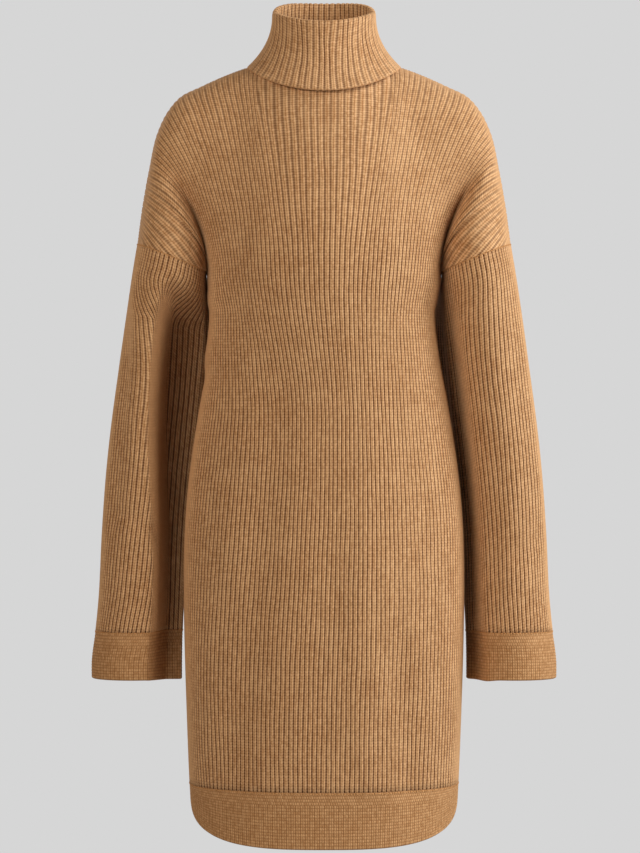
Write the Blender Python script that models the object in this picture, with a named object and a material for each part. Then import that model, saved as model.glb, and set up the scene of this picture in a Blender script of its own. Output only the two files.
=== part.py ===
"""Rib-knit sweater dress with a folded polo collar, dropped shoulders and straight sleeves.

It keeps the filled-out form it has on a wearer, and every piece is a thin wall of cloth.
Frame: metres, +Z up, the front faces -Y and +X is the right-hand side seen from the front.
The origin is in the middle of the neck base, level with the neck end of the shoulders.
All sizes and tables below are in millimetres and are turned to metres when a mesh is made.
"""

import math

import bmesh
import bpy
import numpy as np

MM = 0.001

# ---------------------------------------------------------------- driving sizes
WALL = 2.6                 # cloth thickness
SEAM_GAP = 0.3             # between two pieces at a seam
SIDE_Y = 4.0               # side seams and shoulder seams lie in this plane
UNDERARM_Z = -226.0        # level of the underarm
BAND_TOP_Z = -799.0        # seam between body and hem band, at the centre
BAND_SIDE_RISE = 2.0       # that seam is higher at the side seams
HEM_Z = -861.0             # lowest point of the hem
HEM_SIDE_RISE = 55.0       # rounded hem corners rise this much to the side seams
HEM_CORNER_POWER = 3.4     # squareness of the rounded hem corners
SECTION_POWER = 2.2        # squareness of the body's sections
CUFF_TOP_Z = -628.0        # seam between sleeve and cuff band
CUFF_END_Z = -680.0        # end of the cuff
SLEEVE_CLEARANCE = 3.5     # between a sleeve and the body beside it
UNDERARM_GAP = 1.8         # the same at the underarm, where they part
CLEARANCE_RUN = 40.0       # height over which the one grows into the other
CLEARING_START = 8.0       # how far above the underarm the sleeve starts to stand clear
CLEARING_RUN = 20.0        # height over which it comes to stand clear
CLEARING_SOFTNESS = 1.5    # how softly the cleared part of a ring meets the rest of it

# ---------------------------------------------------------------- rib counts
BODY_RIBS = 40             # ribs across half a panel below the underarm
ARMHOLE_RIBS = 8           # ribs more above it, which end in the armhole seam
TOP_RIBS = BODY_RIBS + ARMHOLE_RIBS
NECK_RIBS = 12             # of these, the ribs that start at the neckline

# ---------------------------------------------------------------- facets
BODY_COLUMNS = 13          # across half a panel
ARMHOLE_COLUMNS = 6
YOKE_ROWS = 8
BODY_ROWS = 11
BAND_ROWS = 2
SLEEVE_COLUMNS = 24
SLEEVE_ROWS = 10
CUFF_ROWS = 2
COLLAR_COLUMNS = 32

# Body sections from the underarm to the hem: level, half width, and how far the front and the
# back stand from the side seam's plane. rib_spread is the rib spacing at the centre over its mean.
BODY_SECTIONS = np.array([
    # z,     half_width, front, back, rib_spread
    (-180.0, 134.0, 121.5, 101.0, 1.16),
    (-226.0, 130.0, 122.0, 100.0, 1.14),
    (-272.0, 124.5, 117.0, 94.0, 1.10),
    (-327.0, 130.0, 111.0, 88.0, 1.03),
    (-370.0, 138.0, 108.0, 88.0, 0.97),
    (-412.0, 145.0, 108.0, 92.0, 0.95),
    (-455.0, 151.0, 109.5, 98.0, 0.95),
    (-498.0, 155.0, 111.5, 103.0, 0.95),
    (-560.0, 157.0, 113.5, 107.0, 0.95),
    (-640.0, 156.0, 113.5, 107.0, 0.98),
    (-720.0, 153.5, 111.0, 103.0, 1.00),
    (-806.0, 150.0, 107.0, 98.0, 1.02),
    (-880.0, 146.0, 103.0, 94.0, 1.04),
])

# Shoulder outline seen from the front, from the neck to the top of the armhole seam.
SHOULDER_OUTLINE = np.array([
    # x,     z
    (66.0, 9.0),
    (95.0, 0.0),
    (137.0, -18.0),
    (162.0, -31.0),
    (176.0, -48.0),
    (186.0, -69.0),
    (196.0, -112.0),
    (204.0, -157.0),
    (209.0, -195.0),
])

# How far each rib line reaches forwards from the shoulder and up from its lower end: the
# lengths of the end tangents of its curve over the yoke.
YOKE_REACH = np.array([
    # rib,  at_top, at_end
    (0.0, 150.0, 200.0),
    (12.0, 190.0, 230.0),
    (24.0, 235.0, 230.0),
    (32.0, 285.0, 250.0),
    (37.0, 285.0, 265.0),
    (40.0, 262.0, 260.0),
    (42.0, 175.0, 150.0),
    (44.0, 109.0, 72.0),
    (46.0, 52.0, 34.0),
    (48.0, 0.0, 0.0),
])

# The directions in which a rib line leaves the top edge and reaches its lower end.
NECK_FALL = {-1: 0.85, 1: 0.55}   # how steeply a rib falls at the neckline, front and back
SHOULDER_SPREAD = 0.35            # how far sideways the ribs between neck and shoulder lean
SEAM_CROSSING = (0.9, 0.45)       # shares of the seam's normal and of the hang in the armhole
SLEEVE_HANG = (0.12, 0.0, -1.0)   # how a dropped shoulder hangs
CORNER_SOFTNESS = 6.0      # ribs over which the corner at the neck end of the shoulder is rounded
CORNER_FADE = 7            # how soon below the top edge that rounding is complete

# Sleeve rings from the armhole seam to the cuff's end, with their outer and inner points.
# depth is front to back over two, and middle_y the ring's middle.
SLEEVE_RINGS = np.array([
    # outer_x, outer_z, inner_x, inner_z, depth, middle_y
    (209.0, -195.0, 131.5, -226.0, 70.0, 4.0),
    (214.5, -228.0, 132.5, -250.0, 69.0, 5.0),
    (221.5, -275.0, 134.5, -292.0, 67.0, 7.0),
    (229.5, -330.0, 139.0, -342.0, 64.0, 10.0),
    (238.5, -395.0, 145.0, -402.0, 61.0, 13.0),
    (245.0, -455.0, 151.0, -458.0, 58.0, 15.0),
    (249.5, -520.0, 156.0, -521.0, 55.0, 15.0),
    (252.5, -585.0, 158.5, -585.0, 52.5, 13.0),
    (256.5, -628.0, 160.0, -628.0, 51.5, 12.0),
    (260.5, -660.0, 160.5, -660.0, 51.5, 11.0),
    (260.5, -690.0, 160.5, -690.0, 51.5, 11.0),
])

# How far each ring's inner side leans: its back towards the body, its front away from it.
SLEEVE_LEAN = {
    "right": np.array([
        # back, front
        (0.0, 0.0), (24.0, 2.0), (50.0, 4.0), (50.0, 6.0), (38.0, 7.0), (26.0, 7.0),
        (18.0, 6.0), (15.0, 5.0), (13.0, 4.0), (12.0, 4.0), (12.0, 4.0),
    ]),
    "left": np.array([
        # back, front
        (0.0, 0.0), (24.0, 4.0), (50.0, 8.0), (50.0, 8.0), (38.0, 8.0), (26.0, 8.0),
        (18.0, 8.0), (15.0, 8.0), (13.0, 8.0), (12.0, 8.0), (12.0, 8.0),
    ]),
}
LEAN_POWER = 1.5           # how the lean grows from the ring's middle to its front and back

# The recess beside the body, where the inner part of a sleeve's front falls back behind a soft
# upright fold: how much of it each ring has, and the turn at which its wall stands.
SLEEVE_RECESS = {
    "right": np.array([
        # share, wall_turn
        (0.0, 0.7), (0.04, 0.7), (0.25, 0.7), (0.35, 0.7), (0.35, 0.7), (0.35, 0.7),
        (0.35, 0.7), (0.35, 0.7), (0.35, 0.7), (0.35, 0.7), (0.35, 0.7),
    ]),
    "left": np.array([
        # share, wall_turn
        (0.0, 1.46), (0.06, 1.46), (0.66, 1.50), (1.0, 1.48), (1.0, 1.36), (1.0, 1.18),
        (0.92, 1.00), (0.80, 0.95), (0.66, 0.95), (0.58, 0.96), (0.58, 0.96),
    ]),
}
RECESS_DEPTH = 0.62        # depth of a full recess behind the ring's middle, over the ring's depth
RECESS_WALL = 0.24         # half the turn that the recess's wall takes up
RECESS_FLATNESS = 2.5      # how soon the floor of a shallow recess is level

# Soft folds in the panels, each along a straight line seen from the front. face is -1 for the
# front and 1 for the back, depth is positive for a trough and negative for a ridge.
FOLDS = np.array([
    # face, x_top, z_top,  x_low,  z_low,  depth, half_width
    (-1.0, -48.0, -345.0, -101.0, -790.0, 5.0, 24.0),
    (-1.0, 52.0, -360.0, 46.0, -700.0, -2.5, 34.0),
    (-1.0, 78.0, -640.0, 99.0, -815.0, 3.5, 16.0),
    (-1.0, 52.0, -140.0, 38.0, -262.0, 2.2, 20.0),
    (-1.0, -100.0, -150.0, -92.0, -262.0, 2.2, 18.0),
    (1.0, 55.0, -250.0, 84.0, -720.0, 4.5, 24.0),
    (1.0, -46.0, -300.0, -92.0, -800.0, 5.0, 26.0),
    (1.0, -118.0, -318.0, -30.0, -352.0, 3.0, 14.0),
    (1.0, 0.0, -120.0, 8.0, -240.0, 2.5, 22.0),
])
FOLD_TAPER = 0.18          # share of a fold's length over which each end fades out

# Collar rings: half width, reach of the front and back from the side, and the level of the
# front, the side and the back.
COLLAR_BASE = dict(half_width=66.0, front=62.0, back=52.0, z_front=-14.0, z_side=9.0, z_back=16.0)
COLLAR_FOLD = dict(half_width=58.0, front=56.0, back=48.0, z_front=49.5, z_side=65.0, z_back=79.5)
COLLAR_EDGE = dict(half_width=87.0, front=86.0, back=76.0, z_front=-28.5, z_side=6.5, z_back=8.0)
COLLAR_FLARE_POWER = 2.3   # the fold-over stays close at the top and flares at its edge
COLLAR_STAND_POWER = 3.0   # the same for the layer under it
COLLAR_LAYER_GAP = 1.2     # between the two layers at the fold
COLLAR_CREST = 1.0         # how high the fold is rounded above its two layers
COLLAR_LIFT = SEAM_GAP + 0.9      # of the stand's lower edge above the neckline
RING_POWER = 1.5           # how the neckline and the collar's rings climb to their sides

CLOTH = dict(rib=(0.42, 0.22, 0.10), band=(0.36, 0.185, 0.085))
CLOTH_ROUGHNESS = 0.85


# ---------------------------------------------------------------- small helpers
def smooth_step(low, high, value):
    """0 below low, 1 above high, and an even curve between."""
    t = np.clip((value - low) / (high - low), 0.0, 1.0)
    return t * t * (3.0 - 2.0 * t)


def table_curve(keys, values, at):
    """A smooth curve through a table's rows, read at the given keys."""
    order = np.argsort(keys)
    keys, values = keys[order], values[order]
    slopes = np.gradient(values, keys, axis=0)
    at = np.clip(at, keys[0], keys[-1])
    i = np.clip(np.searchsorted(keys, at, side="right") - 1, 0, len(keys) - 2)
    step = keys[i + 1] - keys[i]
    t = (at - keys[i]) / step
    if values.ndim == 2:
        t, step = t[..., None], step[..., None]
    return (
        (2 * t**3 - 3 * t**2 + 1) * values[i]
        + (t**3 - 2 * t**2 + t) * step * slopes[i]
        + (3 * t**2 - 2 * t**3) * values[i + 1]
        + (t**3 - t**2) * step * slopes[i + 1]
    )


def arc_lengths(points):
    """Running length along points, from 0."""
    steps = np.linalg.norm(np.diff(points, axis=0), axis=1)
    return np.concatenate(([0.0], np.cumsum(steps)))


def unit(vectors):
    """Vectors of the same direction and of length 1."""
    return vectors / np.maximum(np.linalg.norm(vectors, axis=-1, keepdims=True), 1e-9)


# ---------------------------------------------------------------- the body's form
QUARTER = np.linspace(0.0, math.pi / 2, 181)
SECTION_X = np.sin(QUARTER) ** (2 / SECTION_POWER)
SECTION_Y = np.cos(QUARTER) ** (2 / SECTION_POWER)


def body_section(share, z, face):
    """Points of the body's skin at level z. share runs 0 at the centre to 1 at the side seam,
    counted in ribs. face is -1 for the front and 1 for the back."""
    rows = table_curve(BODY_SECTIONS[:, 0], BODY_SECTIONS[:, 1:], z)
    half_width, spread = rows[..., 0], rows[..., 3]
    depth = rows[..., 1] if face < 0 else rows[..., 2]
    length_share = share + (spread - 1.0) * share * (1.0 - share) ** 2
    points = np.empty(share.shape + (3,))
    flat = [a.ravel() for a in (length_share, half_width, depth, z)]
    for k, (s, a, b, level) in enumerate(zip(*flat)):
        x, y = a * SECTION_X, b * SECTION_Y
        run = arc_lengths(np.column_stack((x, y)))
        place = s * run[-1]
        points.reshape(-1, 3)[k] = (
            np.interp(place, run, x), face * np.interp(place, run, y), level)
    points[..., 1] += SIDE_Y
    return points


def neckline(turn, face):
    """Half the neckline: turn is 0 at the centre and a quarter turn at the shoulder."""
    reach = COLLAR_BASE["front"] if face < 0 else COLLAR_BASE["back"]
    z_centre = COLLAR_BASE["z_front"] if face < 0 else COLLAR_BASE["z_back"]
    z_side = COLLAR_BASE["z_side"]
    near = np.cos(turn) ** RING_POWER
    return np.stack((
        COLLAR_BASE["half_width"] * np.sin(turn),
        SIDE_Y + face * reach * np.cos(turn),
        z_side + (z_centre - z_side) * near,
    ), axis=-1)


def shoulder_points():
    """The shoulder outline as a smooth run of points in the seam's plane."""
    run = arc_lengths(SHOULDER_OUTLINE)
    fine = table_curve(run, SHOULDER_OUTLINE, np.linspace(0.0, run[-1], 90))
    return np.column_stack((fine[:, 0], np.full(len(fine), SIDE_Y), fine[:, 1]))


def top_edge(rib, face):
    """Where a rib starts: on the neckline, then along the shoulder to the armhole's top."""
    turns = np.linspace(0.0, math.pi / 2, 40)
    neck = neckline(turns, face)
    shoulder = shoulder_points()
    neck_run, shoulder_run = arc_lengths(neck), arc_lengths(shoulder)
    share = np.clip(rib / NECK_RIBS, 0.0, 1.0) * neck_run[-1]
    past = np.clip((rib - NECK_RIBS) / (TOP_RIBS - NECK_RIBS), 0.0, 1.0) * shoulder_run[-1]
    on_neck = np.stack([np.interp(share, neck_run, neck[:, i]) for i in range(3)], axis=-1)
    on_shoulder = np.stack(
        [np.interp(past, shoulder_run, shoulder[:, i]) for i in range(3)], axis=-1)
    return np.where((rib < NECK_RIBS)[..., None], on_neck, on_shoulder)


def armhole(turn, face):
    """Half the armhole seam: turn is 0 at the underarm and a half turn at the top."""
    outer_x, outer_z, inner_x, inner_z, depth, middle_y = SLEEVE_RINGS[0]
    inner_x = body_section(np.array([1.0]), np.array([UNDERARM_Z]), face)[0, 0]
    along = 0.5 - 0.5 * np.cos(turn)
    return np.stack((
        inner_x + (outer_x - inner_x) * along,
        middle_y + face * depth * np.sin(turn),
        inner_z + (outer_z - inner_z) * along,
    ), axis=-1)


def lower_edge(rib, face):
    """Where a rib leaves the yoke: at the underarm level, or in the armhole seam."""
    share = np.clip(rib / BODY_RIBS, 0.0, 1.0)
    on_body = body_section(share, np.full(share.shape, UNDERARM_Z), face)
    turn = np.clip((rib - BODY_RIBS) / ARMHOLE_RIBS, 0.0, 1.0) * math.pi
    return np.where((rib <= BODY_RIBS)[..., None], on_body, armhole(turn, face))


def softened_top_edge(rib, face):
    """The top edge with the corner between neckline and shoulder rounded off."""
    window = CORNER_SOFTNESS * np.clip(1.0 - ((rib - NECK_RIBS) / (NECK_RIBS - 1.0)) ** 2, 0.0, 1.0)
    shifts = np.linspace(-1.0, 1.0, 9)
    return sum(top_edge(rib + shift * window, face) for shift in shifts) / len(shifts)


def yoke(rib, down, face):
    """Points over chest or back and shoulder. down runs 0 at the top edge to 1 at the lower edge,
    and each rib is one smooth curve that leaves the shoulder level and ends hanging down."""
    exact, start, end = top_edge(rib, face), softened_top_edge(rib, face), lower_edge(rib, face)
    reach = table_curve(YOKE_REACH[:, 0], YOKE_REACH[:, 1:], rib)

    past_neck = smooth_step(0.0, NECK_RIBS + 4.0, rib)
    fall = (1.0 - past_neck) * NECK_FALL[face]
    sideways = SHOULDER_SPREAD * np.sin(math.pi * past_neck) ** 2
    leave = unit(np.stack((sideways, np.full(rib.shape, float(face)), -fall), axis=-1))

    share = np.clip(rib / BODY_RIBS, 0.0, 1.0)
    level = np.full(rib.shape, UNDERARM_Z)
    hang = unit(body_section(share, level - 2.0, face) - body_section(share, level, face))
    turn = np.clip((rib - BODY_RIBS) / ARMHOLE_RIBS, 0.0, 1.0) * math.pi
    ahead, behind = np.clip(turn - 0.02, 0.0, math.pi), np.clip(turn + 0.02, 0.0, math.pi)
    seam = unit(armhole(ahead, face) - armhole(behind, face))
    across_seam = unit(SEAM_CROSSING[0] * seam + SEAM_CROSSING[1] * unit(np.array(SLEEVE_HANG)))
    towards_seam = smooth_step(BODY_RIBS - 6.0, BODY_RIBS + 0.5, rib)[..., None]
    arrive = unit(hang + (across_seam - hang) * towards_seam)

    t = down[..., None]
    return (
        (2 * t**3 - 3 * t**2 + 1) * start
        + (t**3 - 2 * t**2 + t) * reach[..., :1] * leave
        + (3 * t**2 - 2 * t**3) * end
        + (t**3 - t**2) * reach[..., 1:] * arrive
        + (1 - t) ** CORNER_FADE * (exact - start)
    )


def folded(points, normals, face):
    """Moves a panel's points in or out where the soft folds run."""
    moved = points.copy()
    for side, x_top, z_top, x_low, z_low, depth, half_width in FOLDS:
        if side != face:
            continue
        line = np.array([x_low - x_top, z_low - z_top])
        length = np.hypot(*line)
        from_top = points[:, [0, 2]] - np.array([x_top, z_top])
        along = from_top @ line / length**2
        beside = np.abs(from_top @ np.array([-line[1], line[0]])) / length
        fade = smooth_step(-FOLD_TAPER, FOLD_TAPER, along)
        fade = fade * smooth_step(1 + FOLD_TAPER, 1 - FOLD_TAPER, along)
        moved -= normals * (depth * fade * np.exp(-((beside / half_width) ** 2)))[:, None]
    return moved


def band_seam_z(share):
    """Level of the seam between the body and the hem band."""
    return BAND_TOP_Z + BAND_SIDE_RISE * share**3


def skirt(rib, down, face):
    """Points from the underarm level to the seam of the hem band."""
    share = rib / BODY_RIBS
    low = band_seam_z(share) + SEAM_GAP / 2
    return body_section(share, UNDERARM_Z + (low - UNDERARM_Z) * down, face)


def hem_band(rib, down, face):
    """Points from the band's seam to the rounded hem."""
    share = rib / BODY_RIBS
    top = band_seam_z(share) - SEAM_GAP / 2
    across = body_section(share, np.full(share.shape, HEM_Z), face)[..., 0]
    side = body_section(np.array([1.0]), np.array([HEM_Z]), face)[0, 0]
    across = np.clip(across / side, 0.0, 1.0)
    corner = 1.0 - (1.0 - across**HEM_CORNER_POWER) ** (1 / HEM_CORNER_POWER)
    return body_section(share, top + (HEM_Z + HEM_SIDE_RISE * corner - top) * down, face)


# ---------------------------------------------------------------- sleeves and collar
def sleeve(turn, down, rows, side):
    """Points of a sleeve, drawn on the right. turn goes once round from the underarm over the
    front, down runs between two row numbers of the ring table."""
    keys = np.arange(len(SLEEVE_RINGS), dtype=float)
    key = rows[0] + (rows[1] - rows[0]) * down
    ring = table_curve(keys, SLEEVE_RINGS, key)
    outer_x, outer_z, inner_x, inner_z, depth, middle_y = np.moveaxis(ring, -1, 0)
    back, front = np.moveaxis(table_curve(keys, SLEEVE_LEAN[side], key), -1, 0)
    recess, wall_turn = np.moveaxis(table_curve(keys, SLEEVE_RECESS[side], key), -1, 0)
    along = 0.5 - 0.5 * np.cos(turn)
    forwards = np.sin(turn)
    lean = np.where(forwards > 0, front, -back) * np.abs(forwards) ** LEAN_POWER * (1.0 - along)
    x = inner_x + (outer_x - inner_x) * along + lean
    y = middle_y - depth * recessed(forwards, turn, RECESS_DEPTH * recess, wall_turn)
    z = inner_z + (outer_z - inner_z) * along
    return clear_of_body(np.stack((x, y, z), axis=-1))


def recessed(forwards, turn, deep, wall_turn):
    """How far forwards a ring's points stand, with the recess beside the body pushed back."""
    turn = np.mod(turn, 2 * math.pi)
    floor = 1.0 - smooth_step(wall_turn - RECESS_WALL, wall_turn + RECESS_WALL, turn)
    front = forwards * (1.0 - floor * np.minimum(1.0, RECESS_FLATNESS * deep)) - deep * floor
    inner_back = forwards * (1.0 - deep) - deep
    forwards = np.where(turn < math.pi / 2 + RECESS_WALL, front, forwards)
    return np.where(turn > 1.5 * math.pi, inner_back, forwards)


def clear_of_body(points):
    """Pushes a sleeve's points out until they stand clear of the body beside them."""
    rows = table_curve(BODY_SECTIONS[:, 0], BODY_SECTIONS[:, 1:], points[..., 2])
    y = points[..., 1] - SIDE_Y
    depth = np.where(y < 0, rows[..., 1], rows[..., 2])
    inside = np.clip(1.0 - (np.abs(y) / depth) ** SECTION_POWER, 0.0, 1.0)
    low = smooth_step(UNDERARM_Z, UNDERARM_Z - CLEARANCE_RUN, points[..., 2])
    gap = UNDERARM_GAP + (SLEEVE_CLEARANCE - UNDERARM_GAP) * low
    least = rows[..., 0] * inside ** (1 / SECTION_POWER) + gap
    moved = points.copy()
    moved[..., 0] = CLEARING_SOFTNESS * np.logaddexp(
        points[..., 0] / CLEARING_SOFTNESS, least / CLEARING_SOFTNESS)
    start = UNDERARM_Z + CLEARING_START
    near = smooth_step(start, start - CLEARING_RUN, points[..., 2])
    moved[..., 0] = points[..., 0] + (moved[..., 0] - points[..., 0]) * near
    return moved


def collar_ring(ring, turn):
    """One ring of the collar: turn goes once round from the centre front."""
    front = np.cos(turn) > 0
    reach = np.where(front, ring["front"], ring["back"])
    z_centre = np.where(front, ring["z_front"], ring["z_back"])
    near = np.abs(np.cos(turn)) ** RING_POWER
    return np.stack((
        ring["half_width"] * np.sin(turn),
        SIDE_Y - reach * np.cos(turn),
        ring["z_side"] + (z_centre - ring["z_side"]) * near,
    ), axis=-1)


def collar_layer(turn, down, low_ring, power, inset):
    """Points from the fold down to a lower ring. inset moves them towards the neck."""
    high, low = collar_ring(COLLAR_FOLD, turn), collar_ring(low_ring, turn)
    share = down[..., None] ** np.array([power, power, 1.0])
    points = high + (low - high) * share
    outwards = np.stack((high[..., 0], high[..., 1] - SIDE_Y, np.zeros(turn.shape)), axis=-1)
    return points - unit(outwards) * inset


# ---------------------------------------------------------------- meshes
STEP_DOWN = 0.004          # small steps by which a surface's normals are found
STEP_RIB = 0.05
STEP_TURN = 0.02
MERGE_DISTANCE = 0.00002   # metres
ON_CENTRE = 0.001          # points nearer to the middle plane than this lie in it


def surface_normals(surface, across, down, step_across, limits):
    """Normals of a surface function, by small steps that are kept inside its limits."""
    before = np.clip(across - step_across, *limits)
    after = np.clip(across + step_across, *limits)
    above, below = np.clip(down - STEP_DOWN, 0.0, 1.0), np.clip(down + STEP_DOWN, 0.0, 1.0)
    along = surface(after, down) - surface(before, down)
    fall = surface(across, below) - surface(across, above)
    return unit(np.cross(fall, along))


def mesh_object(name, points, faces, slot):
    """A mesh object from points in millimetres, with doubles merged and faces turned outwards."""
    mesh = bpy.data.meshes.new(name)
    work = bmesh.new()
    corners = [work.verts.new([c * MM for c in point]) for point in points]
    for face in faces:
        work.faces.new([corners[i] for i in face])
    bmesh.ops.remove_doubles(work, verts=work.verts, dist=MERGE_DISTANCE)
    bmesh.ops.dissolve_degenerate(work, edges=work.edges, dist=MERGE_DISTANCE)
    bmesh.ops.triangulate(work, faces=work.faces)
    bmesh.ops.recalc_face_normals(work, faces=work.faces)
    work.to_mesh(mesh)
    work.free()
    mesh.shade_smooth()
    mesh.materials.append(cloth_material(slot))
    made = bpy.data.objects.new(name, mesh)
    bpy.context.scene.collection.objects.link(made)
    return made


def cloth_material(slot):
    """The plain material of a slot, made once."""
    name = f"{slot}_knit"
    if name in bpy.data.materials:
        return bpy.data.materials[name]
    made = bpy.data.materials.new(name)
    made.use_nodes = True
    shader = made.node_tree.nodes["Principled BSDF"]
    shader.inputs["Base Color"].default_value = (*CLOTH[slot], 1.0)
    shader.inputs["Roughness"].default_value = CLOTH_ROUGHNESS
    shader.inputs["Metallic"].default_value = 0.0
    return made


def wall_from_cells(outer, normals, cells, edge):
    """Points and faces of a closed wall: the outer skin, the inner skin and the rim between.
    cells are quads of point numbers, edge is the closed run of rim points in order."""
    count = len(outer)
    points = np.concatenate((outer, outer - normals * WALL))
    faces = [tuple(cell) for cell in cells]
    faces += [tuple(i + count for i in reversed(cell)) for cell in cells]
    for run in edge:
        for here, there in zip(run, run[1:] + run[:1]):
            faces.append((here, there, there + count, here + count))
    return points, faces


def rim_of(cells):
    """Runs of rim points round a patch of quads."""
    once = {}
    for cell in cells:
        for here, there in zip(cell, cell[1:] + cell[:1]):
            if (there, here) in once:
                del once[(there, here)]
            else:
                once[(here, there)] = True
    follow = {there: here for here, there in once}
    runs = []
    while follow:
        start, here = follow.popitem()
        run = [start]
        while here != start:
            run.append(here)
            here = follow.pop(here)
        runs.append(run)
    return runs


def tube_wall(name, surface, columns, rows, slot):
    """A closed tube wall from a surface function of turn and down."""
    turns = np.arange(columns) * 2 * math.pi / columns
    downs = np.linspace(0.0, 1.0, rows + 1)
    turn, down = np.meshgrid(turns, downs)
    outer = surface(turn, down)
    normals = surface_normals(surface, turn, down, STEP_TURN, (-math.inf, math.inf))
    middle = outer.mean(axis=1, keepdims=True)
    if np.einsum("ijk,ijk->", normals, outer - middle) < 0:
        normals = -normals
    cells = []
    for r in range(rows):
        for c in range(columns):
            n = (c + 1) % columns
            here, below = r * columns, (r + 1) * columns
            cells.append((here + c, here + n, below + n, below + c))
    flat = outer.reshape(-1, 3), normals.reshape(-1, 3)
    points, faces = wall_from_cells(*flat, cells, rim_of(cells))
    return mesh_object(name, points, faces, slot)


def half_sheet(blocks):
    """Joins blocks of one half panel, listed from the top down. Each block is a surface function
    with its rib values and its row count. Returns points, normals and cells."""
    points, normals, cells, above = [], [], [], None
    total = 0
    for surface, ribs, rows in blocks:
        downs = np.linspace(0.0, 1.0, rows + 1)
        if above is not None:
            downs = downs[1:]
        rib, down = np.meshgrid(ribs, downs)
        outer = surface(rib, down)
        short = np.minimum(rib, ribs[-1] - 2.0 * STEP_RIB)
        away = surface_normals(surface, short, down, STEP_RIB, (0.0, ribs[-1]))
        numbers = total + np.arange(rib.size).reshape(rib.shape)
        total += rib.size
        points.append(outer.reshape(-1, 3))
        normals.append(away.reshape(-1, 3))
        if above is not None:
            numbers = np.concatenate((above[None, :len(ribs)], numbers))
        for r in range(numbers.shape[0] - 1):
            for c in range(numbers.shape[1] - 1):
                cells.append((
                    int(numbers[r, c]), int(numbers[r, c + 1]),
                    int(numbers[r + 1, c + 1]), int(numbers[r + 1, c]),
                ))
        above = numbers[-1]
    return np.concatenate(points), np.concatenate(normals), cells


def panel(name, blocks, face, slot):
    """A whole panel from its right half and the mirror of it, as one closed wall."""
    points, normals, cells = half_sheet(blocks)
    normals *= np.sign(normals[0, 1]) * face
    normals[points[:, 0] < ON_CENTRE, 0] = 0.0
    normals = unit(normals)
    flip = np.array([-1.0, 1.0, 1.0])
    centre = {i: i for i in np.flatnonzero(points[:, 0] < ON_CENTRE)}
    count = len(points)
    mirrored = [tuple(centre.get(i, i + count) for i in reversed(cell)) for cell in cells]
    both = np.concatenate((points, points * flip))
    both[:, 1] += face * SEAM_GAP / 2
    both_normals = np.concatenate((normals, normals * flip))
    both = folded(both, both_normals, face)
    all_cells = cells + mirrored
    solid_points, faces = wall_from_cells(both, both_normals, all_cells, rim_of(all_cells))
    seam_y = SIDE_Y + face * SEAM_GAP / 2
    solid_points[:, 1] = face * np.maximum(face * solid_points[:, 1], face * seam_y)
    used = sorted({i for f in faces for i in f})
    number = {old: new for new, old in enumerate(used)}
    faces = [tuple(number[i] for i in f) for f in faces]
    return mesh_object(name, solid_points[used], faces, slot)


def build_panels():
    """The front and the back, each with its hem band."""
    body_ribs = np.linspace(0.0, BODY_RIBS, BODY_COLUMNS + 1)
    armhole_ribs = np.linspace(BODY_RIBS, TOP_RIBS, ARMHOLE_COLUMNS + 1)[1:]
    all_ribs = np.concatenate((body_ribs, armhole_ribs))
    for face, side in ((-1, "front"), (1, "back")):
        blocks = [
            (lambda rib, down, face=face: yoke(rib, down, face), all_ribs, YOKE_ROWS),
            (lambda rib, down, face=face: skirt(rib, down, face), body_ribs, BODY_ROWS),
        ]
        panel(f"{side}_panel", blocks, face, "rib")
        band = [(lambda rib, down, face=face: hem_band(rib, down, face), body_ribs, BAND_ROWS)]
        panel(f"hem_band_{side}", band, face, "band")


def build_sleeves():
    """Both sleeves, each with its cuff."""
    levels = SLEEVE_RINGS[:, 1]
    keys = np.arange(len(SLEEVE_RINGS), dtype=float)
    cuff_row = np.interp(-CUFF_TOP_Z, -levels, keys)
    end_row = np.interp(-CUFF_END_Z, -levels, keys)
    spacing = levels[0] - levels[1]
    seam_row = 2.0 * SEAM_GAP / spacing
    cuff_gap_row = SEAM_GAP / 2 / (levels[8] - levels[9])
    pieces = (
        ("sleeve", (seam_row, cuff_row - cuff_gap_row), SLEEVE_ROWS, "rib"),
        ("cuff", (cuff_row + cuff_gap_row, end_row), CUFF_ROWS, "band"),
    )
    for side, sign in (("right", 1.0), ("left", -1.0)):
        across = np.array([sign, 1.0, 1.0])
        for name, rows, count, slot in pieces:
            tube_wall(
                f"{name}_{side}",
                lambda turn, down: sleeve(turn, down, rows, side) * across,
                SLEEVE_COLUMNS, count, slot,
            )


def build_collar():
    """The polo collar: one band of cloth from the neckline up, over the fold and down outside."""
    turns = np.arange(COLLAR_COLUMNS) * 2 * math.pi / COLLAR_COLUMNS
    outer_down = np.array([0.04, 0.2, 0.4, 0.6, 0.8, 1.0])
    inner_down = np.array([1.0, 0.75, 0.5, 0.25, 0.06])
    base_lift = np.array([0.0, 0.0, COLLAR_LIFT])
    inset = WALL + COLLAR_LAYER_GAP

    def flap(down, depth):
        """One ring of the outer layer."""
        level = np.full(turns.shape, down)
        return collar_layer(turns, level, COLLAR_EDGE, COLLAR_FLARE_POWER, depth)

    def stand(down, depth):
        """One ring of the layer under it, which reaches down to the neckline."""
        level = np.full(turns.shape, down)
        return base_lift + collar_layer(
            turns, level, COLLAR_BASE, COLLAR_STAND_POWER, inset * (1 - down) + depth)

    section = [flap(down, 0.0) for down in outer_down]
    section += [flap(down, WALL) for down in outer_down[::-1]]
    section += [stand(down, 0.0) for down in inner_down[::-1]]
    section += [stand(down, WALL) for down in inner_down]
    section.append(flap(0.0, WALL + COLLAR_LAYER_GAP / 2) + np.array([0.0, 0.0, COLLAR_CREST]))
    rings = np.stack(section)
    rows, columns = rings.shape[:2]
    faces = []
    for r in range(rows):
        for c in range(columns):
            n = (c + 1) % columns
            here, below = r * columns, (r + 1) % rows * columns
            faces.append((here + c, here + n, below + n, below + c))
    mesh_object("collar", rings.reshape(-1, 3), faces, "rib")


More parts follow.
